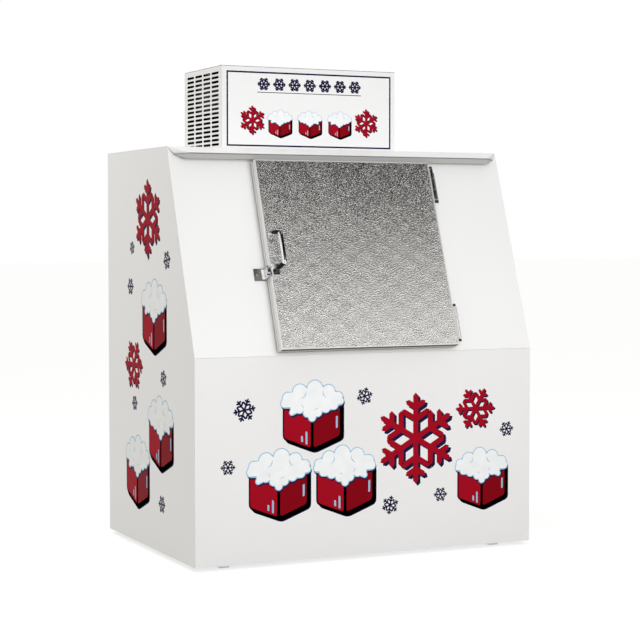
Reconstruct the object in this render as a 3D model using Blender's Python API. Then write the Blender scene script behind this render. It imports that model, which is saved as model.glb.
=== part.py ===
# Bagged ice freezer: an insulated sheet-metal cabinet with a leaning front and one door, and a
# condensing unit in a slotted housing on its roof. Metres, +Z up, front towards -Y, and the origin
# under the middle of the part.

import math

import bmesh
import bpy
from mathutils import Matrix, Vector

for old in list(bpy.data.objects):
    bpy.data.objects.remove(old, do_unlink=True)


# Driving dimensions: cabinet shell
cabinet_width = 1.295
cabinet_depth = 0.892
cabinet_height = 1.409
crease_height = 0.699
top_setback = 0.2566
skin = 0.0012
side_flange = 0.018
wall = 0.064
liner_gauge = 0.001
clearance = 0.0003
overrun = 0.006
weld_distance = 0.000001

# Driving dimensions: skids and floor
skid_height = 0.015
skid_width = 0.034
skid_inset = 0.105
skid_setback = 0.045
skid_gauge = 0.003
rack_thickness = 0.012
rack_margin = 0.012
rack_border = 0.022
rack_slot_width = 0.032
rack_slot_gap = 0.016
drain_radius = 0.011
drain_bore = 0.008
drain_nut_radius = 0.018
drain_nut_height = 0.008
drain_from_side = 0.3
drain_from_front = 0.25

# Driving dimensions: doorway and door
opening_side_margin = 0.0415
opening_end_margin = 0.043
collar_depth = 0.012
breaker_gauge = 0.003
breaker_lap = 0.012
door_width = 0.683
door_offset = -0.0085
door_bottom = 0.009
door_top_gap = 0.0599
door_front = 0.045
rim_width = 0.011
rim_depth = 0.0212
face_gauge = 0.001
break_height = 0.0032
break_recess = 0.0015
break_width = 0.004
inner_pan_level = 0.0103
gasket_seat = 0.0005
gasket_inset = 0.006
gasket_width = 0.018
gasket_bulb_width = 0.012
gasket_base = 0.0028

# Driving dimensions: rain lip over the door
lip_nose_drop = 0.0389
lip_nose_reach = 0.044
lip_nose_inset = 0.0605
lip_foot_drop = 0.0529
lip_foot_reach = 0.025
lip_foot_inset = 0.0529
lip_seat_drop = 0.0439
lip_gauge = 0.0015
lip_hollow_drop = 0.006
lip_end_drop = 0.0299
lip_end_reach = 0.008
lip_end_inset = 0.0188

# Driving dimensions: hinges
hinge_length = 0.118
hinge_end_distance = 0.082
knuckle_radius = 0.0065
knuckle_share = 0.32
hinge_pin_radius = 0.0028
hinge_pin_head = 0.0042
hinge_pin_head_height = 0.002
hinge_axis_reach = 0.0105
hinge_axis_level = 0.036
hinge_leaf_gauge = 0.0025
hinge_web_gauge = 0.005
hinge_foot_width = 0.030
hinge_foot_gauge = 0.003
hinge_foot_behind = 0.0055
door_leaf_bottom = 0.014

# Driving dimensions: latch and pull handle
latch_width = 0.0275
latch_height = 0.042
latch_depth = 0.0147
latch_edge_margin = 0.0005
bolt_width = 0.028
bolt_height = 0.0174
bolt_depth = 0.0074
bolt_rise = 0.0035
bolt_reach = 0.0165
bolt_travel = 0.010
bolt_nose_chamfer = 0.004
post_spacing = 0.128
handle_inset = 0.017
post_width = 0.020
post_height = 0.024
post_base = 0.0025
cheek_gap = 0.011
cheek_radius = 0.0065
pivot_rise = 0.0127
pivot_pin_radius = 0.002
pivot_bore_radius = 0.0023
handle_tail = 0.005
handle_leg_rise = 0.018
grip_rise = 0.060
grip_shift = 0.013
grip_drawn_in = 0.010
grip_half_width = 0.0095
grip_half_thickness = 0.0052
leg_half_width = 0.005
leg_half_thickness = 0.0042
handle_bend = 0.013

# Driving dimensions: strike on the leaning front
strike_width = 0.0415
strike_height = 0.044
strike_gauge = 0.0028
strike_gap = 0.0025
keeper_width = 0.0145
keeper_height = 0.036
keeper_gauge = 0.0028
screw_head_radius = 0.0065
screw_head_height = 0.0035

# Driving dimensions: evaporator under the ceiling
case_width = 0.56
case_height = 0.19
case_depth = 0.19
case_rear_gap = 0.048
evaporator_fan_radius = 0.074
fan_tip_gap = 0.006
guard_margin = 0.012
guard_gauge = 0.0035
guard_wire = 0.003
guard_hub_radius = 0.018
evaporator_motor_radius = 0.028
evaporator_motor_length = 0.040
evaporator_motor_setback = 0.032
bracket_width = 0.024
bracket_gauge = 0.004
coil_depth = 0.065
coil_web = 0.012
fin_gauge = 0.0022
fin_pitch = 0.0200
hub_radius = 0.019
hub_length = 0.022
blade_gauge = 0.0016
blade_root_chord = 0.026
blade_tip_chord = 0.052

# Driving dimensions: condensing unit housing on the roof
housing_width = 0.684
housing_depth = 0.360
housing_height = 0.293
housing_offset = -0.0664
housing_rear_gap = 0.182
housing_flange = 0.014
slot_length = 0.068
slot_height = 0.0088
slot_corner = 0.0035
slot_column_pitch = 0.080
slot_row_pitch = 0.01573
slot_first_column = 0.0595
slot_first_row = 0.0173
deck_rim = 0.015

# Driving dimensions: condensing unit
compressor_radius = 0.082
compressor_height = 0.165
compressor_dome = 0.045
compressor_from_left = 0.148
compressor_from_front = 0.150
compressor_plate_width = 0.190
compressor_plate_gauge = 0.003
grommet_radius = 0.012
grommet_height = 0.012
grommet_inset = 0.016
terminal_box_width = 0.045
terminal_box_height = 0.050
terminal_box_reach = 0.022
condenser_thickness = 0.060
condenser_from_right = 0.026
condenser_end_gap = 0.030
condenser_height = 0.250
condenser_web = 0.014
condenser_fin_gauge = 0.002
condenser_fin_pitch = 0.0125
shroud_depth = 0.065
condenser_fan_radius = 0.106
condenser_hub_radius = 0.026
condenser_hub_length = 0.030
condenser_blade_root = 0.038
condenser_blade_tip = 0.072
condenser_motor_radius = 0.036
condenser_motor_length = 0.055
condenser_motor_gap = 0.040
motor_post_width = 0.030
motor_post_gauge = 0.018
control_box_width = 0.120
control_box_depth = 0.058
control_box_height = 0.110
control_box_from_left = 0.050
control_box_from_top = 0.035
knob_radius = 0.016
knob_height = 0.014
knob_grip_radius = 0.0125
knob_shaft_radius = 0.003
knob_hole_radius = 0.0045
gland_from_left = 0.200
gland_from_deck = 0.040
gland_flange_radius = 0.014
gland_flange_height = 0.006
gland_body_radius = 0.0088
gland_nose_radius = 0.010
gland_nose_length = 0.010
gland_bore_radius = 0.004
gland_tail = 0.010
suction_radius = 0.008
liquid_radius = 0.004
discharge_radius = 0.005
line_bend = 0.020
passage_length = 0.070
passage_width = 0.030
passage_from_left = 0.300
passage_from_case_front = 0.050
line_spacing = 0.030
suction_rise = 0.060
liquid_rise = 0.045
discharge_rise = 0.150
line_lane = 0.0145

# Angles, counts and powers
smooth_angle = math.radians(40)
blade_pitch = math.radians(28)
blade_count = 5
round_sides = 20
pin_sides = 16
small_sides = 12
slot_columns = 4
back_slot_columns = 2
slot_rows = 17
rack_columns = 2
guard_rings = 3
guard_spokes = 5
grip_swell_power = 0.6
grip_section_power = 0.7

# Shares of the sizes that they follow
pan_fold_share = 0.6
motor_round_share = 0.15
hub_dome_share = 0.8
blade_outline_shares = [
    (0.62, -0.50),
    (0.90, -0.46),
    (0.985, -0.20),
    (1.0, 0.0),
    (0.985, 0.20),
    (0.90, 0.38),
    (0.62, 0.40),
]
knob_rib_share = 0.16
gland_nose_share = 0.8
hinge_arm_share = 0.9
screw_crown_share = 0.6
screw_crown_height_share = 0.85
screw_rim_height_share = 0.25

# Finishes: colour, metallic, roughness
white_paint = ((0.86, 0.86, 0.85), 0.0, 0.35)
liner_white = ((0.80, 0.81, 0.81), 0.0, 0.40)
galvanised = ((0.55, 0.56, 0.57), 0.9, 0.45)
embossed_aluminium = ((0.60, 0.60, 0.60), 1.0, 0.30)
bright_rim = ((0.72, 0.72, 0.72), 1.0, 0.28)
chrome = ((0.78, 0.78, 0.79), 1.0, 0.10)
foam_tan = ((0.80, 0.68, 0.42), 0.0, 0.90)
grey_plastic = ((0.30, 0.31, 0.32), 0.0, 0.50)
black_rubber = ((0.03, 0.03, 0.03), 0.0, 0.70)
black_enamel = ((0.02, 0.02, 0.02), 0.0, 0.35)
fin_aluminium = ((0.66, 0.67, 0.68), 1.0, 0.40)
copper = ((0.72, 0.36, 0.20), 1.0, 0.30)


# Derived places of the shell. The leaning front rises from the crease to the roof's front edge.
half_width = cabinet_width / 2
half_inside = half_width - wall
slope_rise = cabinet_height - crease_height
slope_length = math.hypot(top_setback, slope_rise)
lean = math.atan2(top_setback, slope_rise)
lean_sin = math.sin(lean)
lean_cos = math.cos(lean)
crease_share = math.tan(lean / 2)
eave_share = math.tan(math.pi / 4 - lean / 2)
door_height = slope_length - door_bottom - door_top_gap
door_centre = door_bottom + door_height / 2
opening_width = door_width - 2 * opening_side_margin
opening_height = door_height - 2 * opening_end_margin
front_reach = door_front * lean_cos - door_bottom * lean_sin
depth_centre = (cabinet_depth - front_reach) / 2


def profile(inset, floor):
    """The cabinet's side outline drawn in by inset, with its lower edge at floor: depth and height."""
    back = cabinet_depth - inset
    top = cabinet_height - inset
    return [
        (inset, floor),
        (back, floor),
        (back, top),
        (top_setback + inset * eave_share, top),
        (inset, crease_height - inset * crease_share),
    ]


def rectangle(left, low, right, high):
    return [(left, low), (right, low), (right, high), (left, high)]


def centred(x, y, width, height):
    return rectangle(x - width / 2, y - height / 2, x + width / 2, y + height / 2)


def rounded_rectangle(x, y, width, height, radius, steps=1):
    """A rectangle round (x, y) with arcs for corners."""
    points = []
    for corner, (side_x, side_y) in enumerate([(1, 1), (-1, 1), (-1, -1), (1, -1)]):
        for step in range(steps + 1):
            angle = math.pi / 2 * (corner + step / steps)
            points.append((
                x + side_x * (width / 2 - radius) + radius * math.cos(angle),
                y + side_y * (height / 2 - radius) + radius * math.sin(angle),
            ))
    return points


def circle(x, y, radius, sides=round_sides):
    turns = [2 * math.pi * i / sides for i in range(sides)]
    return [(x + radius * math.cos(a), y + radius * math.sin(a)) for a in turns]


def stepped(caps, walls):
    """A closed form of flat caps, each a set of loops at one level, and straight walls between levels."""
    form = bmesh.new()
    for loops, level in caps:
        edges = []
        for loop in loops:
            ring = [form.verts.new((x, y, level)) for x, y in loop]
            edges += [form.edges.new((ring[i - 1], ring[i])) for i in range(len(ring))]
        bmesh.ops.triangle_fill(form, use_beauty=True, use_dissolve=False, edges=edges)
    for loop, low, high in walls:
        foot = [form.verts.new((x, y, low)) for x, y in loop]
        head = [form.verts.new((x, y, high)) for x, y in loop]
        for i in range(len(loop)):
            form.faces.new((foot[i - 1], foot[i], head[i], head[i - 1]))
    return form


def plate(loops, low, high):
    """A flat plate: the first loop is its outline and the others are holes."""
    return stepped([(loops, low), (loops, high)], [(loop, low, high) for loop in loops])


def tray(outline, inner, holes, back, floor, rim):
    """A folded tray: its outer face at back, its inner face at floor and its flanges ending at rim."""
    caps = [([outline] + holes, back), ([inner] + holes, floor), ([outline, inner], rim)]
    walls = [(outline, back, rim), (inner, floor, rim)]
    walls += [(hole, back, floor) for hole in holes]
    return stepped(caps, walls)


def block(low, high):
    """A box between two opposite corners."""
    return plate([rectangle(low[0], low[1], high[0], high[1])], low[2], high[2])


def turned(outline, x=0, y=0, sides=round_sides):
    """A closed outline of radius and height points turned about the upright line through (x, y)."""
    form = bmesh.new()
    rings = []
    for radius, height in outline:
        places = circle(x, y, radius, sides)
        rings.append([form.verts.new((px, py, height)) for px, py in places])
    for ring, following in zip(rings, rings[1:] + rings[:1]):
        for i in range(sides):
            form.faces.new((ring[i - 1], ring[i], following[i], following[i - 1]))
    return form


def comb(start, end, middle, web, reach, gauge, pitch, upright):
    """Outline of a fin pack: fins of one gauge and pitch on both sides of a web."""
    fins = int((end - start - gauge) / pitch) + 1
    places = [start + (end - start - gauge) * i / (fins - 1) for i in range(fins)]
    upper = []
    lower = []
    for place in places:
        upper += [
            (place, middle + web / 2),
            (place, middle + reach),
            (place + gauge, middle + reach),
            (place + gauge, middle + web / 2),
        ]
        lower += [
            (place, middle - web / 2),
            (place, middle - reach),
            (place + gauge, middle - reach),
            (place + gauge, middle - web / 2),
        ]
    points = upper + lower[::-1]
    return [(b, a) for a, b in points] if upright else points


def finish(name, colour, metallic, roughness):
    made = bpy.data.materials.new(name)
    made.use_nodes = True
    shader = made.node_tree.nodes["Principled BSDF"]
    shader.inputs["Base Color"].default_value = (*colour, 1)
    shader.inputs["Metallic"].default_value = metallic
    shader.inputs["Roughness"].default_value = roughness
    made.diffuse_color = (*colour, 1)
    return made


def frame(name, parent, location, x_axis, y_axis):
    """An empty whose X and Y run along the two given directions."""
    empty = bpy.data.objects.new(name, None)
    bpy.context.collection.objects.link(empty)
    across = Vector(x_axis)
    along = Vector(y_axis)
    axes = Matrix((across, along, across.cross(along))).transposed()
    empty.rotation_euler = axes.to_euler()
    empty.location = location
    empty.parent = parent
    empty["pivot"] = (0.0, 0.0, 0.0)
    return empty


def add(name, form, look, seat, origin=(0, 0, 0), smooth=False):
    """Makes an object of a form drawn in the seat's coordinates, with its own origin and material."""
    bmesh.ops.remove_doubles(form, verts=form.verts, dist=weld_distance)
    bmesh.ops.dissolve_degenerate(form, edges=form.edges, dist=weld_distance)
    bmesh.ops.recalc_face_normals(form, faces=form.faces)
    bmesh.ops.translate(form, verts=form.verts, vec=-Vector(origin))
    mesh = bpy.data.meshes.new(name)
    form.to_mesh(mesh)
    form.free()
    if smooth:
        mesh.shade_smooth()
        mesh.set_sharp_from_angle(angle=smooth_angle)
    piece = bpy.data.objects.new(name, mesh)
    bpy.context.collection.objects.link(piece)
    piece.parent = seat
    piece.location = Vector(origin) - Vector(seat["pivot"])
    mesh.materials.append(finish(name, *look))
    return piece


def combine(piece, tool, operation):
    """Cuts the tool out of the piece, or joins it on, and keeps the tool as a hidden guide."""
    tool.hide_render = True
    tool.display_type = "WIRE"
    boolean = piece.modifiers.new(tool.name, "BOOLEAN")
    boolean.operation = operation
    boolean.object = tool


def soften(piece, width):
    """Rounds the sharp edges of a piece."""
    bevel = piece.modifiers.new("edge rounding", "BEVEL")
    bevel.width = width
    bevel.segments = 2
    bevel.limit_method = "ANGLE"
    bevel.angle_limit = smooth_angle


def bent(points, radius, steps=4):
    """A path through the points whose corners are rounded within the given distance."""
    path = [Vector(points[0])]
    for before, corner, after in zip(points, points[1:], points[2:]):
        corner = Vector(corner)
        arm_in = Vector(before) - corner
        arm_out = Vector(after) - corner
        start = corner + arm_in.normalized() * min(radius, arm_in.length / 2)
        end = corner + arm_out.normalized() * min(radius, arm_out.length / 2)
        for step in range(steps + 1):
            t = step / steps
            path.append(start * (1 - t) ** 2 + corner * 2 * t * (1 - t) + end * t ** 2)
    path.append(Vector(points[-1]))
    return path


def tube(name, points, radius, look, seat):
    """A round tube along a bent path."""
    curve = bpy.data.curves.new(name, "CURVE")
    curve.dimensions = "3D"
    curve.bevel_depth = radius
    curve.bevel_resolution = 2
    curve.use_fill_caps = True
    path = bent(points, line_bend)
    spline = curve.splines.new("POLY")
    spline.points.add(len(path) - 1)
    for point, place in zip(spline.points, path):
        point.co = (*place, 1)
    curve.materials.append(finish(name, *look))
    piece = bpy.data.objects.new(name, curve)
    bpy.context.collection.objects.link(piece)
    piece.parent = seat
    return piece


def motor(name, x, y, face, back, radius, seat):
    """A closed can motor along the seat's Z, with the edge of its shaft end rounded off."""
    edge = radius * motor_round_share
    outline = [
        (0, face),
        (radius - edge, face),
        (radius, face + math.copysign(edge, back - face)),
        (radius, back),
        (0, back),
    ]
    return add(name, turned(outline, x, y), black_enamel, seat, smooth=True)


def fan(name, centre, radius, hub, length, chords, gauge, look, seat):
    """A fan whose pitched blades are joined to its hub, turning about the seat's Z through its centre."""
    x, y, z = centre
    dome = hub * hub_dome_share
    outline = [
        (0, z + length / 2),
        (dome, z + length / 2),
        (hub, z + length / 2 - (hub - dome)),
        (hub, z - length / 2),
        (0, z - length / 2),
    ]
    wheel = add(name, turned(outline, x, y), look, seat, centre, smooth=True)
    root_chord, tip_chord = chords
    blade_outline = [(hub / 2, -root_chord / 2)]
    blade_outline += [(radius * out, tip_chord * across) for out, across in blade_outline_shares]
    blade_outline.append((hub / 2, root_chord / 2))
    for number in range(blade_count):
        blade = plate([blade_outline], -gauge / 2, gauge / 2)
        pitch = Matrix.Rotation(blade_pitch, 3, "X")
        turn = Matrix.Rotation(2 * math.pi * number / blade_count, 3, "Z")
        bmesh.ops.rotate(blade, verts=blade.verts, cent=(0, 0, 0), matrix=turn @ pitch)
        bmesh.ops.translate(blade, verts=blade.verts, vec=centre)
        combine(wheel, add(f"{name}_blade_{number + 1}_guide", blade, look, seat, centre), "UNION")
    return wheel


# Frames: the whole part, its upright planes and the leaning front
part = frame("part_frame", None, (0, -depth_centre, skid_height), (1, 0, 0), (0, 1, 0))
front = frame("front_frame", part, (0, 0, 0), (1, 0, 0), (0, 0, 1))
side = frame("side_frame", part, (0, 0, 0), (0, 1, 0), (0, 0, 1))
slope = frame("slope_frame", part, (0, 0, crease_height), (1, 0, 0), (0, lean_sin, lean_cos))


# Floor skids: two folded channels, open upwards, that run from front to back under the bottom pan
for name, middle in [
    ("skid_left", -half_width + skid_inset + skid_width / 2),
    ("skid_right", half_width - skid_inset - skid_width / 2),
]:
    outer = centred(middle, cabinet_depth / 2, skid_width, cabinet_depth - 2 * skid_setback)
    inner = centred(
        middle,
        cabinet_depth / 2,
        skid_width - 2 * skid_gauge,
        cabinet_depth - 2 * skid_setback - 2 * skid_gauge,
    )
    form = tray(outer, inner, [], -skid_height, skid_gauge - skid_height, -clearance)
    add(name, form, galvanised, part)


# Bottom pan: a sheet between the side panels' lower flanges, folded up behind the front and back panels
pan_half = half_width - side_flange - clearance
pan_front = skin + clearance
pan_back = cabinet_depth - skin - clearance
pan_fold = wall * pan_fold_share
pan_outline = [
    (pan_front, 0),
    (pan_back, 0),
    (pan_back, pan_fold),
    (pan_back - skin, pan_fold),
    (pan_back - skin, skin),
    (pan_front + skin, skin),
    (pan_front + skin, pan_fold),
    (pan_front, pan_fold),
]
bottom_pan = add("bottom_pan", plate([pan_outline], -pan_half, pan_half), galvanised, side)


# Outer panels: flat front, back and roof sheets cover the edges of the two side trays
front_top = crease_height - skin * lean_sin - clearance
add(
    "front_panel",
    block((-half_width, 0, -skin), (half_width, front_top, 0)),
    white_paint,
    front,
)
add(
    "back_panel",
    block(
        (-half_width, 0, -cabinet_depth),
        (half_width, cabinet_height - skin - clearance, skin - cabinet_depth),
    ),
    white_paint,
    front,
)
top_panel = add(
    "top_panel",
    block(
        (-half_width, top_setback, cabinet_height - skin),
        (half_width, cabinet_depth, cabinet_height),
    ),
    white_paint,
    part,
)
tray_outline = profile(skin + clearance, 0)
tray_inner = profile(2 * skin + clearance, skin)
for name, hand in [("side_panel_left", -1), ("side_panel_right", 1)]:
    form = tray(
        tray_outline,
        tray_inner,
        [],
        hand * half_width,
        hand * (half_width - skin),
        hand * (half_width - side_flange),
    )
    add(name, form, white_paint, side)


# Leaning front panel: one sheet with the doorway pressed in as a collar
breaker_outer = centred(
    door_offset, door_centre, opening_width + 2 * breaker_gauge, opening_height + 2 * breaker_gauge
)
collar_hole = centred(
    door_offset,
    door_centre,
    opening_width + 2 * (breaker_gauge + clearance),
    opening_height + 2 * (breaker_gauge + clearance),
)
collar_outer = centred(
    door_offset,
    door_centre,
    opening_width + 2 * (breaker_gauge + clearance + skin),
    opening_height + 2 * (breaker_gauge + clearance + skin),
)
slope_top = (slope_rise - skin - clearance) / lean_cos
slope_outline = rectangle(-half_width, 0, half_width, slope_top)
add(
    "slope_panel",
    stepped(
        [
            ([slope_outline, collar_hole], 0),
            ([slope_outline, collar_outer], -skin),
            ([collar_outer, collar_hole], -collar_depth),
        ],
        [
            (slope_outline, -skin, 0),
            (collar_hole, -collar_depth, 0),
            (collar_outer, -collar_depth, -skin),
        ],
    ),
    white_paint,
    slope,
)


# Rain lip: a folded strip along the roof's front edge, with its ends mitred back to the panel and a
# hollow behind its nose
lip = bmesh.new()
for hand in (-1, 1):
    for inset, drop, reach in [
        (0, 0, clearance),
        (lip_end_inset, lip_end_drop, clearance),
        (lip_foot_inset, lip_seat_drop, clearance),
        (lip_end_inset, lip_end_drop, lip_end_reach),
        (lip_foot_inset, lip_foot_drop, lip_foot_reach),
        (lip_nose_inset, lip_nose_drop, lip_nose_reach),
    ]:
        lip.verts.new((hand * (half_width - inset), slope_length - drop, reach))
bmesh.ops.convex_hull(lip, input=lip.verts)
rain_lip = add("rain_lip", lip, white_paint, slope)
lip_hollow = bmesh.new()
for hand in (-1, 1):
    for drop, reach in [
        (lip_hollow_drop, 0),
        (lip_seat_drop - lip_gauge, 0),
        (lip_foot_drop - lip_gauge, lip_foot_reach - lip_gauge),
        (lip_nose_drop, lip_nose_reach - 2 * lip_gauge),
    ]:
        place = (hand * (half_width - lip_nose_inset - lip_gauge), slope_length - drop, reach)
        lip_hollow.verts.new(place)
bmesh.ops.convex_hull(lip_hollow, input=lip_hollow.verts)
combine(rain_lip, add("lip_hollow_guide", lip_hollow, white_paint, slope), "DIFFERENCE")


# Insulation: foam that fills the walls between the outer panels and the liner, cut through at the doorway
foam_inset = 2 * (skin + clearance)
foam_half = half_width - skin - clearance
insulation = add(
    "insulation",
    plate([profile(foam_inset, skin + clearance)], -foam_half, foam_half),
    foam_tan,
    side,
)
cavity_inset = wall - liner_gauge - clearance
cavity_half = half_inside + liner_gauge + clearance
cavity = add(
    "cavity_guide",
    plate([profile(cavity_inset, cavity_inset)], -cavity_half, cavity_half),
    foam_tan,
    side,
)
combine(insulation, cavity, "DIFFERENCE")
foam_door_clear = 2 * (breaker_gauge + 2 * clearance + skin)
doorway = add(
    "doorway_guide",
    plate(
        [
            centred(
                door_offset,
                door_centre,
                opening_width + foam_door_clear,
                opening_height + foam_door_clear,
            )
        ],
        -wall - overrun,
        overrun,
    ),
    foam_tan,
    slope,
)
combine(insulation, doorway, "DIFFERENCE")


# Liner: flat sheets inside the foam, the two ends over the edges of the five that run across
liner_half = half_inside - clearance
liner_back = cabinet_depth - wall
liner_ceiling = cabinet_height - wall
liner_outline = profile(wall - liner_gauge, wall - liner_gauge)
for name, hand in [("liner_left", -1), ("liner_right", 1)]:
    form = plate([liner_outline], hand * half_inside, hand * (half_inside + liner_gauge))
    add(name, form, liner_white, side)
liner_floor = add(
    "liner_floor",
    block((-liner_half, wall, wall - liner_gauge), (liner_half, liner_back, wall)),
    liner_white,
    part,
)
add(
    "liner_front",
    block(
        (-liner_half, wall + clearance, -wall),
        (liner_half, crease_height - wall * crease_share - clearance, liner_gauge - wall),
    ),
    liner_white,
    front,
)
add(
    "liner_back",
    block(
        (-liner_half, wall + clearance, -liner_back - liner_gauge),
        (liner_half, liner_ceiling - clearance, -liner_back),
    ),
    liner_white,
    front,
)
liner_top = add(
    "liner_top",
    block(
        (-liner_half, top_setback + wall * eave_share + clearance, liner_ceiling),
        (liner_half, liner_back - clearance, liner_ceiling + liner_gauge),
    ),
    liner_white,
    part,
)
liner_slope_outline = rectangle(
    -liner_half,
    wall * crease_share + clearance,
    liner_half,
    slope_length - wall * eave_share - clearance,
)
add(
    "liner_slope",
    plate([liner_slope_outline, collar_hole], -wall, liner_gauge - wall),
    liner_white,
    slope,
)


# Breaker frame: a moulded plastic sleeve that lines the doorway and laps over the liner inside
breaker_hole = centred(door_offset, door_centre, opening_width, opening_height)
breaker_flange = centred(
    door_offset, door_centre, opening_width + 2 * breaker_lap, opening_height + 2 * breaker_lap
)
flange_level = -wall - clearance
add(
    "opening_breaker",
    stepped(
        [
            ([breaker_outer, breaker_hole], 0),
            ([breaker_flange, breaker_outer], flange_level),
            ([breaker_flange, breaker_hole], flange_level - breaker_gauge),
        ],
        [
            (breaker_outer, flange_level, 0),
            (breaker_flange, flange_level - breaker_gauge, flange_level),
            (breaker_hole, flange_level - breaker_gauge, 0),
        ],
    ),
    grey_plastic,
    slope,
)


# Floor rack: a slotted plate that keeps the bags off the floor so that melt runs to the drain
rack_half = liner_half - rack_margin
rack_front = wall + rack_margin
rack_back = liner_back - rack_margin
rack_middle = (rack_front + rack_back) / 2
rack_slots_across = 2 * (rack_half - rack_border) + rack_slot_gap
column_pitch = rack_slots_across / rack_columns
rack_slot_length = column_pitch - rack_slot_gap
row_pitch = rack_slot_width + rack_slot_gap
rack_rows = int((rack_back - rack_front - 2 * rack_border + rack_slot_gap) / row_pitch)
rack_slots = [
    centred(
        (column - (rack_columns - 1) / 2) * column_pitch,
        rack_middle + (row - (rack_rows - 1) / 2) * row_pitch,
        rack_slot_length,
        rack_slot_width,
    )
    for column in range(rack_columns)
    for row in range(rack_rows)
]
rack_level = wall + clearance
add(
    "floor_rack",
    plate(
        [rectangle(-rack_half, rack_front, rack_half, rack_back)] + rack_slots,
        rack_level,
        rack_level + rack_thickness,
    ),
    galvanised,
    part,
)


# Floor drain: a tube from the liner's floor down through the foam and the bottom pan, held by a nut
drain_x = half_width - drain_from_side
drain_outline = [
    (drain_bore, wall),
    (drain_radius, wall),
    (drain_radius, -clearance),
    (drain_nut_radius, -clearance),
    (drain_nut_radius, -drain_nut_height),
    (drain_bore, -drain_nut_height),
]
add(
    "floor_drain",
    turned(drain_outline, drain_x, drain_from_front),
    grey_plastic,
    part,
    (drain_x, drain_from_front, 0),
    smooth=True,
)
drain_hole = circle(drain_x, drain_from_front, drain_radius + clearance)
drain_guide = add(
    "drain_guide", plate([drain_hole], -overrun, wall + overrun), grey_plastic, part
)
for cut_piece in (bottom_pan, insulation, liner_floor):
    combine(cut_piece, drain_guide, "DIFFERENCE")


# Evaporator cover: a sheet box under the ceiling, open at the back, with a round mouth for the fan
case_front = liner_back - case_rear_gap - case_depth
case_top = liner_ceiling - clearance
case_middle = case_top - case_height / 2
fan_mouth = circle(0, case_middle, evaporator_fan_radius + fan_tip_gap)
evaporator_case = add(
    "evaporator_case",
    tray(
        centred(0, case_middle, case_width, case_height),
        centred(0, case_middle, case_width - 2 * skin, case_height - 2 * skin),
        [fan_mouth],
        -case_front,
        -case_front - skin,
        -case_front - case_depth,
    ),
    galvanised,
    front,
)


# Evaporator: a pack of aluminium fins that spans the cover from end to end
coil_back = case_front + case_depth - clearance
coil_half = case_width / 2 - skin - clearance
add(
    "evaporator_coil",
    plate(
        [
            comb(
                -coil_half,
                coil_half,
                coil_back - coil_depth / 2,
                coil_web,
                coil_depth / 2,
                fin_gauge,
                fin_pitch,
                False,
            )
        ],
        case_top - case_height + skin + clearance,
        case_top - skin - clearance,
    ),
    fin_aluminium,
    part,
)


# Evaporator fan guard: rings and spokes in front of the mouth
def ring_openings(x, y, inner, outer, rings, spokes, wire, steps=3):
    """Openings between the rings and spokes of a round guard."""
    openings = []
    pitch = (outer - inner) / rings
    for ring in range(rings):
        low = inner + ring * pitch
        high = low + pitch - wire
        for spoke in range(spokes):
            start = 2 * math.pi * spoke / spokes
            points = []
            for radius, order in [(low, range(steps + 1)), (high, range(steps, -1, -1))]:
                margin = wire / 2 / radius
                sweep = 2 * math.pi / spokes - 2 * margin
                for step in order:
                    angle = start + margin + sweep * step / steps
                    points.append((x + radius * math.cos(angle), y + radius * math.sin(angle)))
            openings.append(points)
    return openings


guard_radius = evaporator_fan_radius + fan_tip_gap + guard_margin
guard_level = -case_front + clearance
add(
    "evaporator_guard",
    plate(
        [circle(0, case_middle, guard_radius)]
        + ring_openings(
            0,
            case_middle,
            guard_hub_radius,
            guard_radius,
            guard_rings,
            guard_spokes,
            guard_wire,
        ),
        guard_level,
        guard_level + guard_gauge,
    ),
    chrome,
    front,
)


# Evaporator fan and its motor, which hangs on a strap between the floor and the roof of the cover
motor_front = -case_front - evaporator_motor_setback
motor_back = motor_front - evaporator_motor_length
evaporator_motor = motor(
    "evaporator_motor", 0, case_middle, motor_front, motor_back, evaporator_motor_radius, front
)
strap = block(
    (
        -bracket_width / 2,
        case_middle - case_height / 2 + skin + clearance,
        motor_back - bracket_gauge / 2,
    ),
    (
        bracket_width / 2,
        case_middle + case_height / 2 - skin - clearance,
        motor_back + bracket_gauge / 2,
    ),
)
combine(evaporator_motor, add("motor_strap_guide", strap, black_enamel, front), "UNION")
fan(
    "evaporator_fan",
    (0, case_middle, motor_front + clearance + hub_length / 2),
    evaporator_fan_radius,
    hub_radius,
    hub_length,
    (blade_root_chord, blade_tip_chord),
    blade_gauge,
    fin_aluminium,
    front,
)


# Housing on the roof: slotted side trays, a slotted back sheet, a plain front sheet and a lid
housing_left = housing_offset - housing_width / 2
housing_right = housing_offset + housing_width / 2
housing_setback = cabinet_depth - housing_rear_gap - housing_depth
housing_back = housing_setback + housing_depth
housing_base = cabinet_height + clearance
housing_top = cabinet_height + housing_height
sheet_top = housing_top - skin - clearance


def slots(first_x, first_y, columns):
    """Rows and columns of rounded slots that start at the given middle."""
    return [
        rounded_rectangle(
            first_x + column * slot_column_pitch,
            first_y + row * slot_row_pitch,
            slot_length,
            slot_height,
            slot_corner,
        )
        for column in range(columns)
        for row in range(slot_rows)
    ]


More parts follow.
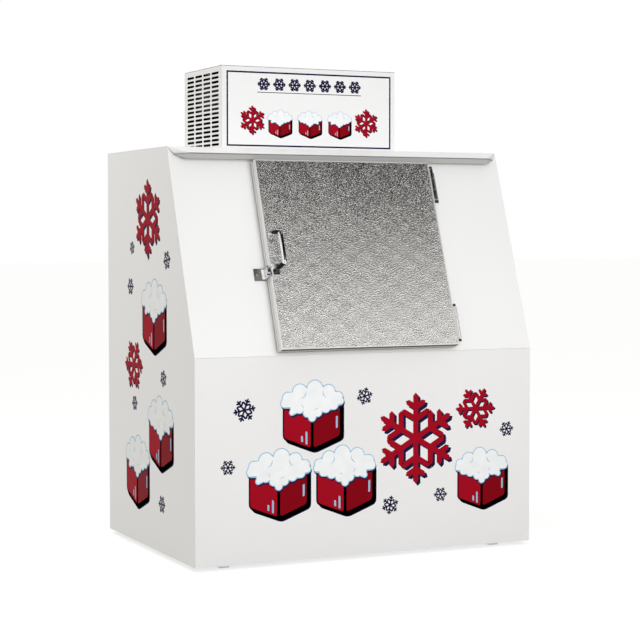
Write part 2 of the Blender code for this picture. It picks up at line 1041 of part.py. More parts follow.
housing_outline = rectangle(
    housing_setback + skin + clearance,
    housing_base,
    housing_back - skin - clearance,
    sheet_top,
)
housing_inner = rectangle(
    housing_setback + 2 * skin + clearance,
    housing_base + skin,
    housing_back - 2 * skin - clearance,
    sheet_top - skin,
)
side_slots = slots(
    housing_setback + slot_first_column, cabinet_height + slot_first_row, slot_columns
)
for name, outer_face, hand in [
    ("housing_side_left", housing_left, 1),
    ("housing_side_right", housing_right, -1),
]:
    form = tray(
        housing_outline,
        housing_inner,
        side_slots,
        outer_face,
        outer_face + hand * skin,
        outer_face + hand * housing_flange,
    )
    add(name, form, white_paint, side)
add(
    "housing_front",
    block(
        (housing_left, housing_base, -housing_setback - skin),
        (housing_right, sheet_top, -housing_setback),
    ),
    white_paint,
    front,
)
add(
    "housing_lid",
    block(
        (housing_left, housing_setback, housing_top - skin),
        (housing_right, housing_back, housing_top),
    ),
    white_paint,
    part,
)
knob_x = housing_left + control_box_from_left + control_box_width / 2
knob_z = sheet_top - control_box_from_top - control_box_height / 2
gland_x = housing_left + gland_from_left
deck_top = housing_base + skin
gland_z = deck_top + gland_from_deck
back_slots = slots(
    housing_right - slot_first_column - (back_slot_columns - 1) * slot_column_pitch,
    cabinet_height + slot_first_row,
    back_slot_columns,
)
back_holes = [
    circle(knob_x, knob_z, knob_hole_radius, small_sides),
    circle(gland_x, gland_z, gland_body_radius + clearance),
]
add(
    "housing_back",
    plate(
        [rectangle(housing_left, housing_base, housing_right, sheet_top)]
        + back_slots
        + back_holes,
        -housing_back,
        skin - housing_back,
    ),
    white_paint,
    front,
)


# Deck: a galvanised tray on the cabinet's roof that carries the condensing unit
deck_left = housing_left + housing_flange + clearance
deck_right = housing_right - housing_flange - clearance
deck_front = housing_setback + skin + clearance
deck_back = housing_back - skin - clearance
deck = add(
    "housing_deck",
    tray(
        rectangle(deck_left, deck_front, deck_right, deck_back),
        rectangle(deck_left + skin, deck_front + skin, deck_right - skin, deck_back - skin),
        [],
        housing_base,
        deck_top,
        housing_base + deck_rim,
    ),
    galvanised,
    part,
)
deck_seat = deck_top + clearance


# Compressor: a welded steel can on a plate with four rubber feet
compressor_x = housing_left + compressor_from_left
compressor_y = housing_setback + compressor_from_front
plate_level = deck_seat + grommet_height
can_foot = plate_level + compressor_plate_gauge / 2
can_shoulder = can_foot + compressor_height - compressor_dome
dome_steps = 5
dome = [
    (
        compressor_radius * math.sin(math.pi / 2 * step / dome_steps),
        can_shoulder + compressor_dome * math.cos(math.pi / 2 * step / dome_steps),
    )
    for step in range(dome_steps + 1)
]
compressor = add(
    "compressor",
    turned(dome + [(compressor_radius, can_foot), (0, can_foot)], compressor_x, compressor_y),
    black_enamel,
    part,
    smooth=True,
)
plate_half = compressor_plate_width / 2
base_plate = block(
    (compressor_x - plate_half, compressor_y - plate_half, plate_level),
    (compressor_x + plate_half, compressor_y + plate_half, plate_level + compressor_plate_gauge),
)
combine(compressor, add("compressor_plate_guide", base_plate, black_enamel, part), "UNION")
grommet_reach = plate_half - grommet_inset
for number, (step_x, step_y) in enumerate([(-1, -1), (1, -1), (1, 1), (-1, 1)]):
    foot = circle(
        compressor_x + step_x * grommet_reach, compressor_y + step_y * grommet_reach, grommet_radius
    )
    form = plate([foot], deck_seat, plate_level + compressor_plate_gauge / 2)
    combine(compressor, add(f"grommet_{number + 1}_guide", form, black_rubber, part), "UNION")
terminal_box = block(
    (
        compressor_x - terminal_box_width / 2,
        compressor_y - compressor_radius - terminal_box_reach,
        can_foot + terminal_box_height / 2,
    ),
    (
        compressor_x + terminal_box_width / 2,
        compressor_y - compressor_radius / 2,
        can_foot + terminal_box_height * 3 / 2,
    ),
)
combine(compressor, add("terminal_box_guide", terminal_box, black_enamel, part), "UNION")


# Condenser: an upright fin pack behind the right side's slots
condenser_right = housing_right - condenser_from_right
condenser_left = condenser_right - condenser_thickness
condenser_front = housing_setback + condenser_end_gap
condenser_back = housing_back - condenser_end_gap
condenser_top = deck_seat + condenser_height
add(
    "condenser_coil",
    plate(
        [
            comb(
                condenser_front,
                condenser_back,
                (condenser_left + condenser_right) / 2,
                condenser_web,
                condenser_thickness / 2,
                condenser_fin_gauge,
                condenser_fin_pitch,
                True,
            )
        ],
        deck_seat,
        condenser_top,
    ),
    fin_aluminium,
    part,
)


# Fan shroud: a sheet box between the fan's mouth and the condenser
shroud_left = condenser_left - clearance - shroud_depth
shroud_outline = rectangle(condenser_front, deck_seat, condenser_back, condenser_top)
shroud_inner = rectangle(
    condenser_front + skin, deck_seat + skin, condenser_back - skin, condenser_top - skin
)
wheel_y = (condenser_front + condenser_back) / 2
wheel_z = (deck_seat + condenser_top) / 2
add(
    "fan_shroud",
    tray(
        shroud_outline,
        shroud_inner,
        [circle(wheel_y, wheel_z, condenser_fan_radius + fan_tip_gap)],
        shroud_left,
        shroud_left + skin,
        condenser_left - clearance,
    ),
    galvanised,
    side,
)


# Condenser fan and its motor, which stands on a post on the deck
condenser_motor_right = shroud_left - condenser_motor_gap
condenser_motor_left = condenser_motor_right - condenser_motor_length
condenser_motor = motor(
    "condenser_motor",
    wheel_y,
    wheel_z,
    condenser_motor_right,
    condenser_motor_left,
    condenser_motor_radius,
    side,
)
post_middle = (condenser_motor_left + condenser_motor_right) / 2
post = block(
    (wheel_y - motor_post_width / 2, deck_seat, post_middle - motor_post_gauge / 2),
    (wheel_y + motor_post_width / 2, wheel_z, post_middle + motor_post_gauge / 2),
)
combine(condenser_motor, add("motor_post_guide", post, galvanised, side), "UNION")
fan(
    "condenser_fan",
    (wheel_y, wheel_z, condenser_motor_right + clearance + condenser_hub_length / 2),
    condenser_fan_radius,
    condenser_hub_radius,
    condenser_hub_length,
    (condenser_blade_root, condenser_blade_tip),
    blade_gauge,
    fin_aluminium,
    side,
)


# Control box on the inside of the back sheet, and the thermostat knob that reaches it through the sheet
box_back = -(housing_back - skin - clearance)
control_box = add(
    "control_box",
    block(
        (knob_x - control_box_width / 2, knob_z - control_box_height / 2, box_back),
        (
            knob_x + control_box_width / 2,
            knob_z + control_box_height / 2,
            box_back + control_box_depth,
        ),
    ),
    grey_plastic,
    front,
)
soften(control_box, skin)
knob_face = -housing_back - clearance
knob_rib = knob_radius * knob_rib_share
knob_outline = [
    (0, box_back - clearance),
    (knob_shaft_radius, box_back - clearance),
    (knob_shaft_radius, knob_face),
    (knob_radius, knob_face),
    (knob_radius, knob_face - knob_rib),
    (knob_grip_radius, knob_face - 2 * knob_rib),
    (knob_grip_radius, knob_face - knob_height),
    (0, knob_face - knob_height),
]
add(
    "thermostat_knob",
    turned(knob_outline, knob_x, knob_z),
    black_rubber,
    front,
    (knob_x, knob_z, knob_face),
    smooth=True,
)


# Cord gland: a bushing through the back sheet where the supply cord enters
gland_seat = -housing_back - clearance
gland_shoulder = gland_seat - gland_flange_height
gland_nose = gland_shoulder - gland_nose_length
gland_outline = [
    (gland_bore_radius, gland_tail - housing_back),
    (gland_body_radius, gland_tail - housing_back),
    (gland_body_radius, gland_seat),
    (gland_flange_radius, gland_seat),
    (gland_flange_radius, gland_shoulder),
    (gland_nose_radius, gland_shoulder),
    (gland_nose_radius * gland_nose_share, gland_nose),
    (gland_bore_radius, gland_nose),
]
add("cord_gland", turned(gland_outline, gland_x, gland_z), black_rubber, front, smooth=True)


# Refrigerant lines: copper tubes from the condensing unit down through the roof to the evaporator
passage_x = housing_left + passage_from_left
passage_y = case_front + passage_from_case_front
passage = add(
    "passage_guide",
    plate(
        [rounded_rectangle(passage_x, passage_y, passage_length, passage_width, passage_width / 3)],
        case_top - skin - overrun,
        deck_top + overrun,
    ),
    foam_tan,
    part,
)
for cut_piece in (deck, top_panel, insulation, liner_top, evaporator_case):
    combine(cut_piece, passage, "DIFFERENCE")
suction_x = passage_x - line_spacing / 2
liquid_x = passage_x + line_spacing / 2
coil_face = coil_back - coil_depth - clearance
suction_z = deck_top + suction_rise
liquid_z = deck_top + liquid_rise
discharge_z = deck_top + discharge_rise
condenser_x = (condenser_left + condenser_right) / 2
tube(
    "suction_line",
    [
        (compressor_x + compressor_radius + clearance, compressor_y, suction_z),
        (suction_x, compressor_y, suction_z),
        (suction_x, passage_y, suction_z),
        (suction_x, passage_y, case_middle + case_height / 4),
        (suction_x, coil_face, case_middle + case_height / 4),
    ],
    suction_radius,
    copper,
    part,
)
tube(
    "liquid_line",
    [
        (condenser_x, condenser_back + clearance, liquid_z),
        (condenser_x, condenser_back + line_lane, liquid_z),
        (liquid_x, condenser_back + line_lane, liquid_z),
        (liquid_x, passage_y, liquid_z),
        (liquid_x, passage_y, case_middle),
        (liquid_x, coil_face, case_middle),
    ],
    liquid_radius,
    copper,
    part,
)
tube(
    "discharge_line",
    [
        (compressor_x, compressor_y - compressor_radius - clearance, discharge_z),
        (compressor_x, condenser_front - line_lane, discharge_z),
        (condenser_x, condenser_front - line_lane, discharge_z),
        (condenser_x, condenser_front - clearance, discharge_z),
    ],
    discharge_radius,
    copper,
    part,
)


# Door: every piece is parented to an empty on the hinge line, at the door's right edge
hinge_x = door_offset + door_width / 2 + hinge_axis_reach
door = frame("door_frame", slope, (hinge_x, 0, hinge_axis_level), (1, 0, 0), (0, 1, 0))
door["pivot"] = (hinge_x, 0.0, hinge_axis_level)


def door_loop(inset):
    """The door's outline drawn in by inset."""
    return centred(door_offset, door_centre, door_width - 2 * inset, door_height - 2 * inset)


# Rim frame: a bright channel with mitred corners round the face sheet
rim_back = door_front - rim_depth
rim_under = door_front - skin
add(
    "door_rim",
    stepped(
        [
            ([door_loop(0), door_loop(skin)], rim_back),
            ([door_loop(skin), door_loop(rim_width)], rim_under),
            ([door_loop(0), door_loop(rim_width)], door_front),
        ],
        [
            (door_loop(0), rim_back, door_front),
            (door_loop(skin), rim_back, rim_under),
            (door_loop(rim_width), rim_under, door_front),
        ],
    ),
    bright_rim,
    door,
)


# Face sheet: embossed aluminium held under the rim's flange
face_top = rim_under - clearance
add(
    "door_face",
    plate([door_loop(skin + clearance)], face_top - face_gauge, face_top),
    embossed_aluminium,
    door,
)


# Thermal break: a plastic strip, set back a little, between the rim and the inner pan
break_top = rim_back - clearance
break_low = break_top - break_height
add(
    "door_break",
    plate([door_loop(break_recess), door_loop(break_recess + break_width)], break_low, break_top),
    grey_plastic,
    door,
)


# Inner pan: the sheet that faces the ice, with its edges folded out to the break
pan_rim = break_low - clearance
add(
    "door_inner_pan",
    tray(
        door_loop(0),
        door_loop(skin),
        [],
        inner_pan_level,
        inner_pan_level + skin,
        pan_rim,
    ),
    liner_white,
    door,
)


# Door core: foam between the pan and the face sheet
core_inset = break_recess + break_width + clearance
add(
    "door_core",
    plate(
        [door_loop(core_inset)],
        inner_pan_level + skin + clearance,
        face_top - face_gauge - clearance,
    ),
    foam_tan,
    door,
)


# Gasket: a magnetic strip with a soft bulb that closes on the leaning front
gasket_top = inner_pan_level - clearance
bulb_top = gasket_top - gasket_base
bulb_inset = gasket_inset + (gasket_width - gasket_bulb_width) / 2
bulb_waist = (gasket_width - gasket_bulb_width) / 4
bulb_middle = (gasket_seat + bulb_top) / 2
gasket_outer = door_loop(gasket_inset)
gasket_inner = door_loop(gasket_inset + gasket_width)
bulb_outer = door_loop(bulb_inset)
bulb_inner = door_loop(bulb_inset + gasket_bulb_width)
neck_outer = door_loop(bulb_inset + bulb_waist)
neck_inner = door_loop(bulb_inset + gasket_bulb_width - bulb_waist)
add(
    "door_gasket",
    stepped(
        [
            ([gasket_outer, gasket_inner], gasket_top),
            ([gasket_outer, neck_outer], bulb_top),
            ([neck_inner, gasket_inner], bulb_top),
            ([bulb_outer, neck_outer], bulb_middle),
            ([neck_inner, bulb_inner], bulb_middle),
            ([bulb_outer, bulb_inner], gasket_seat),
        ],
        [
            (gasket_outer, bulb_top, gasket_top),
            (gasket_inner, bulb_top, gasket_top),
            (neck_outer, bulb_middle, bulb_top),
            (neck_inner, bulb_middle, bulb_top),
            (bulb_outer, gasket_seat, bulb_middle),
            (bulb_inner, gasket_seat, bulb_middle),
        ],
    ),
    black_rubber,
    door,
)


# Hinges: the cabinet's leaf carries two end knuckles and the pin, the door's leaf the middle knuckle
door_right = door_offset + door_width / 2
leaf_face = door_right + clearance
end_length = hinge_length * knuckle_share
middle_length = hinge_length - 2 * end_length - 2 * clearance
pin_bore = hinge_pin_radius + clearance


def along_slope(form, x, level):
    """Lays a form turned about Z along the leaning front's Y, through (x, level)."""
    lay = Matrix.Rotation(-math.pi / 2, 3, "X")
    bmesh.ops.rotate(form, verts=form.verts, cent=(0, 0, 0), matrix=lay)
    bmesh.ops.translate(form, verts=form.verts, vec=(x, 0, level))
    return form


for place, middle in [
    ("top", door_bottom + door_height - hinge_end_distance),
    ("bottom", door_bottom + hinge_end_distance),
]:
    low = middle - hinge_length / 2
    high = middle + hinge_length / 2
    pin_outline = [
        (0, high + hinge_pin_head_height),
        (hinge_pin_head, high + hinge_pin_head_height),
        (hinge_pin_head, high),
        (knuckle_radius, high),
        (knuckle_radius, high - end_length),
        (hinge_pin_radius, high - end_length),
        (hinge_pin_radius, low + end_length),
        (knuckle_radius, low + end_length),
        (knuckle_radius, low),
        (hinge_pin_head, low),
        (hinge_pin_head, low - hinge_pin_head_height),
        (0, low - hinge_pin_head_height),
    ]
    pin = along_slope(turned(pin_outline, sides=pin_sides), hinge_x, hinge_axis_level)
    leaf = add(f"hinge_cabinet_leaf_{place}", pin, chrome, slope, smooth=True)
    foot = block(
        (hinge_x - hinge_foot_behind, low, clearance),
        (hinge_x + hinge_foot_width, high, clearance + hinge_foot_gauge),
    )
    combine(leaf, add(f"hinge_foot_{place}_guide", foot, chrome, slope), "UNION")
    for end, start, stop in [("high", high - end_length, high), ("low", low, low + end_length)]:
        web = block(
            (hinge_x - hinge_web_gauge / 2, start, clearance + hinge_foot_gauge / 2),
            (hinge_x + hinge_web_gauge / 2, stop, hinge_axis_level - hinge_pin_radius),
        )
        combine(leaf, add(f"hinge_web_{place}_{end}_guide", web, chrome, slope), "UNION")

    half = middle_length / 2
    knuckle_outline = [
        (knuckle_radius, middle + half),
        (knuckle_radius, middle - half),
        (pin_bore, middle - half),
        (pin_bore, middle + half),
    ]
    knuckle = along_slope(turned(knuckle_outline, sides=pin_sides), hinge_x, hinge_axis_level)
    leaf = add(f"hinge_door_leaf_{place}", knuckle, chrome, door, smooth=True)
    strap = block(
        (leaf_face, low, door_leaf_bottom),
        (leaf_face + hinge_leaf_gauge, high, door_front),
    )
    combine(leaf, add(f"hinge_strap_{place}_guide", strap, chrome, door), "UNION")
    arm = block(
        (leaf_face + hinge_leaf_gauge / 2, middle - half, hinge_axis_level + pin_bore + clearance),
        (hinge_x, middle + half, hinge_axis_level + knuckle_radius * hinge_arm_share),
    )
    combine(leaf, add(f"hinge_arm_{place}_guide", arm, chrome, door), "UNION")


# Handle post: a small clevis near the door's left edge that carries the pull handle's upper end
door_left = door_offset - door_width / 2
handle_x = door_left + handle_inset
post_y = door_centre + post_spacing / 2
post_seat = door_front + clearance
pivot_level = door_front + pivot_rise
post = add(
    "handle_post",
    plate(
        [rounded_rectangle(handle_x, post_y, post_width, post_height, post_width / 5)],
        post_seat,
        post_seat + post_base,
    ),
    chrome,
    door,
    smooth=True,
)
cheek_gauge = (post_width - cheek_gap) / 2
cheek_foot = post_seat + post_base / 2
cheek_outline = circle(post_y, pivot_level, cheek_radius, pin_sides)[: pin_sides // 2 + 1]
cheek_outline += [(post_y - cheek_radius, cheek_foot), (post_y + cheek_radius, cheek_foot)]


def across_slope(form):
    """Turns a form drawn in Y and height, with its depth along Z, so that its depth runs along X."""
    swap = Matrix(((0, 0, 1), (1, 0, 0), (0, 1, 0)))
    bmesh.ops.transform(form, verts=form.verts, matrix=swap.to_4x4())
    return form


def up_slope(form):
    """Turns a form drawn in X and height, with its depth along Z, so that its depth runs along Y."""
    swap = Matrix(((1, 0, 0), (0, 0, 1), (0, 1, 0)))
    bmesh.ops.transform(form, verts=form.verts, matrix=swap.to_4x4())
    return form


for name, start in [
    ("cheek_left_guide", handle_x - post_width / 2),
    ("cheek_right_guide", handle_x + cheek_gap / 2),
]:
    cheek = across_slope(plate([cheek_outline], start, start + cheek_gauge))
    combine(post, add(name, cheek, chrome, door), "UNION")
pivot_pin = across_slope(
    plate(
        [circle(post_y, pivot_level, pivot_pin_radius, small_sides)],
        handle_x - post_width / 2 + cheek_gauge / 2,
        handle_x + post_width / 2 - cheek_gauge / 2,
    )
)
combine(post, add("pivot_pin_guide", pivot_pin, chrome, door), "UNION")


# Latch body: a chromed block on the door's left edge with a channel for the bolt
latch_left = door_left + latch_edge_margin
latch_y = door_centre - post_spacing / 2
latch_top = post_seat + latch_depth
bolt_low = post_seat + bolt_rise
bolt_left = door_left - bolt_reach
latch = add(
    "latch_body",
    plate(
        [centred(latch_left + latch_width / 2, latch_y, latch_width, latch_height)],
        post_seat,
        latch_top,
    ),
    chrome,
    door,
)
channel = block(
    (
        latch_left - overrun,
        latch_y - bolt_height / 2 - clearance,
        bolt_low - clearance,
    ),
    (
        bolt_left + bolt_width + bolt_travel + clearance,
        latch_y + bolt_height / 2 + clearance,
        bolt_low + bolt_depth + clearance,
    ),
)
combine(latch, add("bolt_channel_guide", channel, chrome, door), "DIFFERENCE")


# Latch bolt: slides in the body's channel and is drawn in as the handle is pulled
bolt_outline = [
    (bolt_left + bolt_nose_chamfer, bolt_low),
    (bolt_left + bolt_width, bolt_low),
    (bolt_left + bolt_width, bolt_low + bolt_depth),
    (bolt_left, bolt_low + bolt_depth),
    (bolt_left, bolt_low + bolt_nose_chamfer),
]
bolt = up_slope(plate([bolt_outline], latch_y - bolt_height / 2, latch_y + bolt_height / 2))
add("latch_bolt", bolt, chrome, door, (bolt_left, latch_y, bolt_low))


# Pull handle: a forged bow whose upper end turns on the post and whose lower end rests on the latch body
grip_x = handle_x + grip_shift
grip_level = door_front + grip_rise
grip_top = post_y - grip_drawn_in
grip_foot = latch_y + grip_drawn_in
handle_path = bent(
    [
        (handle_x, post_y, pivot_level - handle_tail),
        (handle_x, post_y, pivot_level + handle_leg_rise),
        (grip_x, grip_top, grip_level),
        (grip_x, grip_foot, grip_level),
        (handle_x, latch_y, pivot_level + handle_leg_rise),
        (handle_x, latch_y, latch_top + 2 * clearance),
    ],
    handle_bend,
)


def superellipse(angle, half):
    """One coordinate of a point on a rounded section: half times a flattened sine or cosine."""
    return math.copysign(abs(angle) ** grip_section_power, angle) * half


def bow(path, sides=small_sides):
    """Rings along the handle's path, slim in the legs and full in the grip, closed at both ends."""
    form = bmesh.new()
    rings = []
    swell_start = pivot_level + handle_leg_rise / 2
    across = Vector((1, 0, 0))
    for number, place in enumerate(path):
        ahead = path[min(number + 1, len(path) - 1)]
        behind = path[max(number - 1, 0)]
        run = (ahead - behind).normalized()
        across = (across - run * across.dot(run)).normalized()
        outward = run.cross(across)
        rise = (place.z - swell_start) / (grip_level - swell_start)
        fullness = min(1, max(0, rise)) ** grip_swell_power
        half_width_here = leg_half_width + (grip_half_width - leg_half_width) * fullness
        half_thickness = leg_half_thickness + (grip_half_thickness - leg_half_thickness) * fullness
        ring = []
        for side_number in range(sides):
            angle = 2 * math.pi * (side_number + 0.5) / sides
            wide = superellipse(math.cos(angle), half_width_here)
            thick = superellipse(math.sin(angle), half_thickness)
            ring.append(form.verts.new(place + across * wide + outward * thick))
        rings.append(ring)
    for ring, following in zip(rings, rings[1:]):
        for i in range(sides):
            form.faces.new((ring[i - 1], ring[i], following[i], following[i - 1]))
    form.faces.new(rings[0])
    form.faces.new(rings[-1][::-1])
    return form


pull_handle = add(
    "pull_handle", bow(handle_path), chrome, door, (handle_x, post_y, pivot_level), smooth=True
)
pivot_bore = across_slope(
    plate(
        [circle(post_y, pivot_level, pivot_bore_radius, small_sides)],
        handle_x - post_width,
        handle_x + post_width,
    )
)
combine(pull_handle, add("pivot_bore_guide", pivot_bore, chrome, door), "DIFFERENCE")


# Strike: a plate on the leaning front beside the latch, with a folded keeper and a round-headed screw
strike_right = door_left - strike_gap
strike_left = strike_right - strike_width
strike_top = clearance + strike_gauge
strike = add(
    "strike_plate",
    plate(
        [centred((strike_left + strike_right) / 2, latch_y, strike_width, strike_height)],
        clearance,
        strike_top,
    ),
    chrome,
    slope,
)
screw_x = strike_left + (strike_width - keeper_width) / 2
screw_head = turned(
    [
        (0, strike_top + screw_head_height),
        (
            screw_head_radius * screw_crown_share,
            strike_top + screw_head_height * screw_crown_height_share,
        ),
        (screw_head_radius, strike_top + screw_head_height * screw_rim_height_share),
        (screw_head_radius, strike_top - strike_gauge / 2),
        (0, strike_top - strike_gauge / 2),
    ],
    screw_x,
    latch_y,
)
combine(strike, add("strike_screw_guide", screw_head, chrome, slope), "UNION")
keeper_foot = strike_top + clearance
keeper_top = bolt_low - 2 * clearance
keeper_left = strike_right - keeper_width
keeper_outline = [
    (keeper_left, keeper_foot),
    (strike_right, keeper_foot),
    (strike_right, keeper_top),
    (keeper_left, keeper_top),
    (keeper_left, keeper_top - keeper_gauge),
    (strike_right - keeper_gauge, keeper_top - keeper_gauge),
    (strike_right - keeper_gauge, keeper_foot + keeper_gauge),
    (keeper_left, keeper_foot + keeper_gauge),
]
keeper_ends = (latch_y - keeper_height / 2, latch_y + keeper_height / 2)
add("strike_keeper", up_slope(plate([keeper_outline], *keeper_ends)), chrome, slope)
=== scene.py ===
# Bagged ice freezer in a white studio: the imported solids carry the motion, and each section below gives
# one piece, or one group of like pieces, its finish and the detail that the solids leave out.
import itertools
from math import atan2, copysign, cos, hypot, pi, radians, sin, sqrt, tan

import bmesh
import bpy
from mathutils import Matrix, Vector


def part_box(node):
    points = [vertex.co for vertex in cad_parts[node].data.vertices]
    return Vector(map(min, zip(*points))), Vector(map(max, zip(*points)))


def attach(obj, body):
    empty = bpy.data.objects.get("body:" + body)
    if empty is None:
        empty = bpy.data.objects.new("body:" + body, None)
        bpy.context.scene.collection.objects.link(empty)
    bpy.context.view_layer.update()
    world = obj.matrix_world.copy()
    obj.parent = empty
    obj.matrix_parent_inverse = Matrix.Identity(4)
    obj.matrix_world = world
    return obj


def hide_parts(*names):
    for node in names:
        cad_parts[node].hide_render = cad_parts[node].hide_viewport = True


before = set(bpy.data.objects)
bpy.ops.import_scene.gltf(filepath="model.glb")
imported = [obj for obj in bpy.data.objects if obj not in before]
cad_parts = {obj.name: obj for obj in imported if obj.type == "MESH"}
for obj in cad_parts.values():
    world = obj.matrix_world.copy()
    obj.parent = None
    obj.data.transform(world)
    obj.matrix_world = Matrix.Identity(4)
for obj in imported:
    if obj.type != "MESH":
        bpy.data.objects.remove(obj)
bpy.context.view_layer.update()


# Camera: a long lens a little under the roof's height, left of the cabinet and turned to its middle.
# Its place and lens are worked out from the cabinet's straight edges in the photograph.
camera_place = (-2.7529, -5.8817, 1.1279)
camera_turn = radians(-25.16)
camera_tilt = radians(90 - 2.81)
camera_lens = 99.64


def placed(name, data):
    """An object in the scene, made of its data."""
    thing = bpy.data.objects.new(name, data)
    bpy.context.scene.collection.objects.link(thing)
    return thing


camera = placed("camera", bpy.data.cameras.new("camera"))
camera.location = camera_place
camera.rotation_euler = (camera_tilt, 0, camera_turn)
camera.data.lens = camera_lens
camera.data.sensor_width = 36
camera.data.clip_end = 200
bpy.context.scene.camera = camera
bpy.context.scene.view_settings.view_transform = "Standard"


# Studio floor: white sweep paper, wide enough to reach the horizon, that keeps the cabinet's soft
# shadow. It throws back less light than it shows, as a floor farther down than the paper would.
def new_material(name):
    """A named material and its node tree."""
    material = bpy.data.materials.new(name)
    material.use_nodes = True
    return material, material.node_tree


def fill(socket, term):
    """Gives an input a plain value, or links it to an output or to a node's first output."""
    if isinstance(term, bpy.types.Node):
        term = term.outputs[0]
    if isinstance(term, bpy.types.NodeSocket):
        socket.id_data.links.new(term, socket)
    else:
        socket.default_value = term


def adjust(thing, **settings):
    """Gives a thing its settings, of which a name with a capital fills an input of a node."""
    for name, value in settings.items():
        if name[0].isupper():
            fill(thing.inputs[name.replace("_", " ")], value)
        else:
            setattr(thing, name, value)
    return thing


def put(tree, kind, *terms, **settings):
    """Adds a shader node, sets it up, and fills its first inputs with the terms."""
    node = adjust(tree.nodes.new("ShaderNode" + kind), **settings)
    for socket, term in zip(node.inputs, terms):
        fill(socket, term)
    return node


def maths(tree, operation, *terms):
    """A calculation with its terms."""
    return put(tree, "Math", *terms, operation=operation)


def seen(tree):
    """One for the rays that show the floor and the backdrop, and nought for the rays that light."""
    rays = put(tree, "LightPath").outputs
    sharp = maths(tree, "MAXIMUM", rays["Is Camera Ray"], rays["Is Glossy Ray"])
    return maths(tree, "MAXIMUM", sharp, rays["Is Transmission Ray"])


def oblong(left, low, right, high):
    """The four corners of an oblong."""
    return [(left, low), (right, low), (right, high), (left, high)]


def backdrop(name, width, height, material):
    """A flat oblong of the studio, round the origin."""
    mesh = bpy.data.meshes.new(name)
    corners = oblong(-width / 2, -height / 2, width / 2, height / 2)
    mesh.from_pydata([(x, y, 0) for x, y in corners], [], [(0, 1, 2, 3)])
    mesh.materials.append(material)
    board = placed(name, mesh)
    return board


floor_reach = 60
floor_white = (0.92, 0.92, 0.92, 1)
floor_throw = (0.38, 0.355, 0.325, 1)
floor_lift_share = 0.55
floor_glow = 1.22
paper, tree = new_material("sweep_paper")
matt = tree.nodes["Principled BSDF"]
adjust(matt, Base_Color=floor_white, Roughness=0.9, Specular_IOR_Level=0.0)
glow = put(tree, "Emission", Strength=floor_glow)
lifted = put(tree, "MixShader", floor_lift_share, matt, glow)
throw = put(tree, "BsdfDiffuse", floor_throw)
adjust(tree.nodes["Material Output"], Surface=put(tree, "MixShader", seen(tree), throw, lifted))
backdrop("studio_floor", 2 * floor_reach, 2 * floor_reach, paper)


# Studio light: an even pale room, a softbox in front, a smaller one on the left, and cards that only
# mirrors see, as the black and white cards that a photographer sets round bright metal.
room_strength = 0.76
room_tint = (1, 0.992, 0.975, 1)
world = bpy.data.worlds.new("studio_room")
bpy.context.scene.world = world
world.use_nodes = True
tree = world.node_tree
room = adjust(tree.nodes["Background"], Color=room_tint, Strength=room_strength)
white = put(tree, "Background", (1, 1, 1, 1), 1.0)
adjust(tree.nodes["World Output"], Surface=put(tree, "MixShader", seen(tree), room, white))


def softbox(name, place, aim, width, height, power, tint):
    """A soft lamp at a place, turned to a point, that mirrors and the camera don't see."""
    lamp = bpy.data.lights.new(name, "AREA")
    adjust(lamp, shape="RECTANGLE", size=width, size_y=height, energy=power, color=tint)
    stand = adjust(placed(name, lamp), visible_camera=False, visible_glossy=False)
    stand.location = place
    stand.rotation_euler = (Vector(aim) - Vector(place)).to_track_quat("-Z", "Y").to_euler()


softbox("front_softbox", (-0.2, -3.5, 1.8), (0, -0.2, 1.0), 2.4, 1.8, 60, (0.95, 0.968, 1.0))
softbox("left_softbox", (-3.0, 1.9, 3.5), (-0.6, 0.2, 1.2), 1.6, 1.6, 48, (1.0, 0.985, 0.95))


def card(name, subject, bearing, elevation, distance, size, tones, roll=0.0):
    """A flat card that only mirrors see. It faces a subject, and its tone runs from foot to top."""
    cloth, tree = new_material(name)
    half = size[1] / 2
    apart = put(tree, "SeparateXYZ", put(tree, "TexCoord").outputs["Object"])
    tone = put(tree, "MapRange", apart.outputs["Y"], -half, half, *tones)
    tone.interpolation_type = "SMOOTHSTEP"
    glow = put(tree, "Emission", (1, 0.985, 0.955, 1), tone)
    adjust(tree.nodes["Material Output"], Surface=glow)
    board = backdrop(name, *size, cloth)
    for rays in ("camera", "diffuse", "shadow", "transmission"):
        setattr(board, "visible_" + rays, False)
    across = radians(bearing)
    up = radians(elevation)
    level = cos(up)
    toward = Vector((level * sin(across), -level * cos(across), sin(up)))
    board.location = Vector(subject) + toward * distance
    facing = (-toward).to_track_quat("Z", "Y").to_matrix()
    board.rotation_euler = (facing @ Matrix.Rotation(radians(roll), 3, "Z")).to_euler()


door_subject = (0, -0.33, 1.05)
handle_subject = (-0.325, -0.42, 1.07)
hinge_subject = (0.343, -0.22, 1.30)
card("dark_card_high", door_subject, 27.8, 61, 2.6, (2.8, 2.2), (0.085, 0.085))
card("grey_card_middle", door_subject, 27.8, 33, 2.6, (2.8, 0.45), (1.02, 0.085), -6)
card("white_card_front", door_subject, 27.8, 16, 2.6, (3.6, 1.2), (1.15, 1.15))
card("dark_card_handle", handle_subject, 50, 30.8, 2.4, (1.75, 0.36), (0.01, 0.01), 4)
card("white_card_handle", handle_subject, -4, 36.5, 2.4, (1.2, 0.3), (1.5, 1.5))
card("dark_card_right", handle_subject, 92, 17, 2.6, (2.0, 2.0), (0.015, 0.015))
card("dark_card_above", handle_subject, 98, 60, 2.6, (2.4, 1.8), (0.015, 0.015))
card("dark_card_hinge", hinge_subject, -26, 42, 1.7, (1.3, 0.6), (0.015, 0.015))
card("dark_card_low", handle_subject, 30, -25, 1.4, (0.8, 0.5), (0.01, 0.01))


# Outer panels: flat and folded steel sheets with a baked white enamel. The enamel has a faint orange
# peel, and its tone and gloss drift a little from place to place.
enamel_white = (0.842, 0.842, 0.838)
enamel_gloss = (0.30, 0.42)
tone_band = (0.35, 0.65)
gloss_band = (0.3, 0.7)


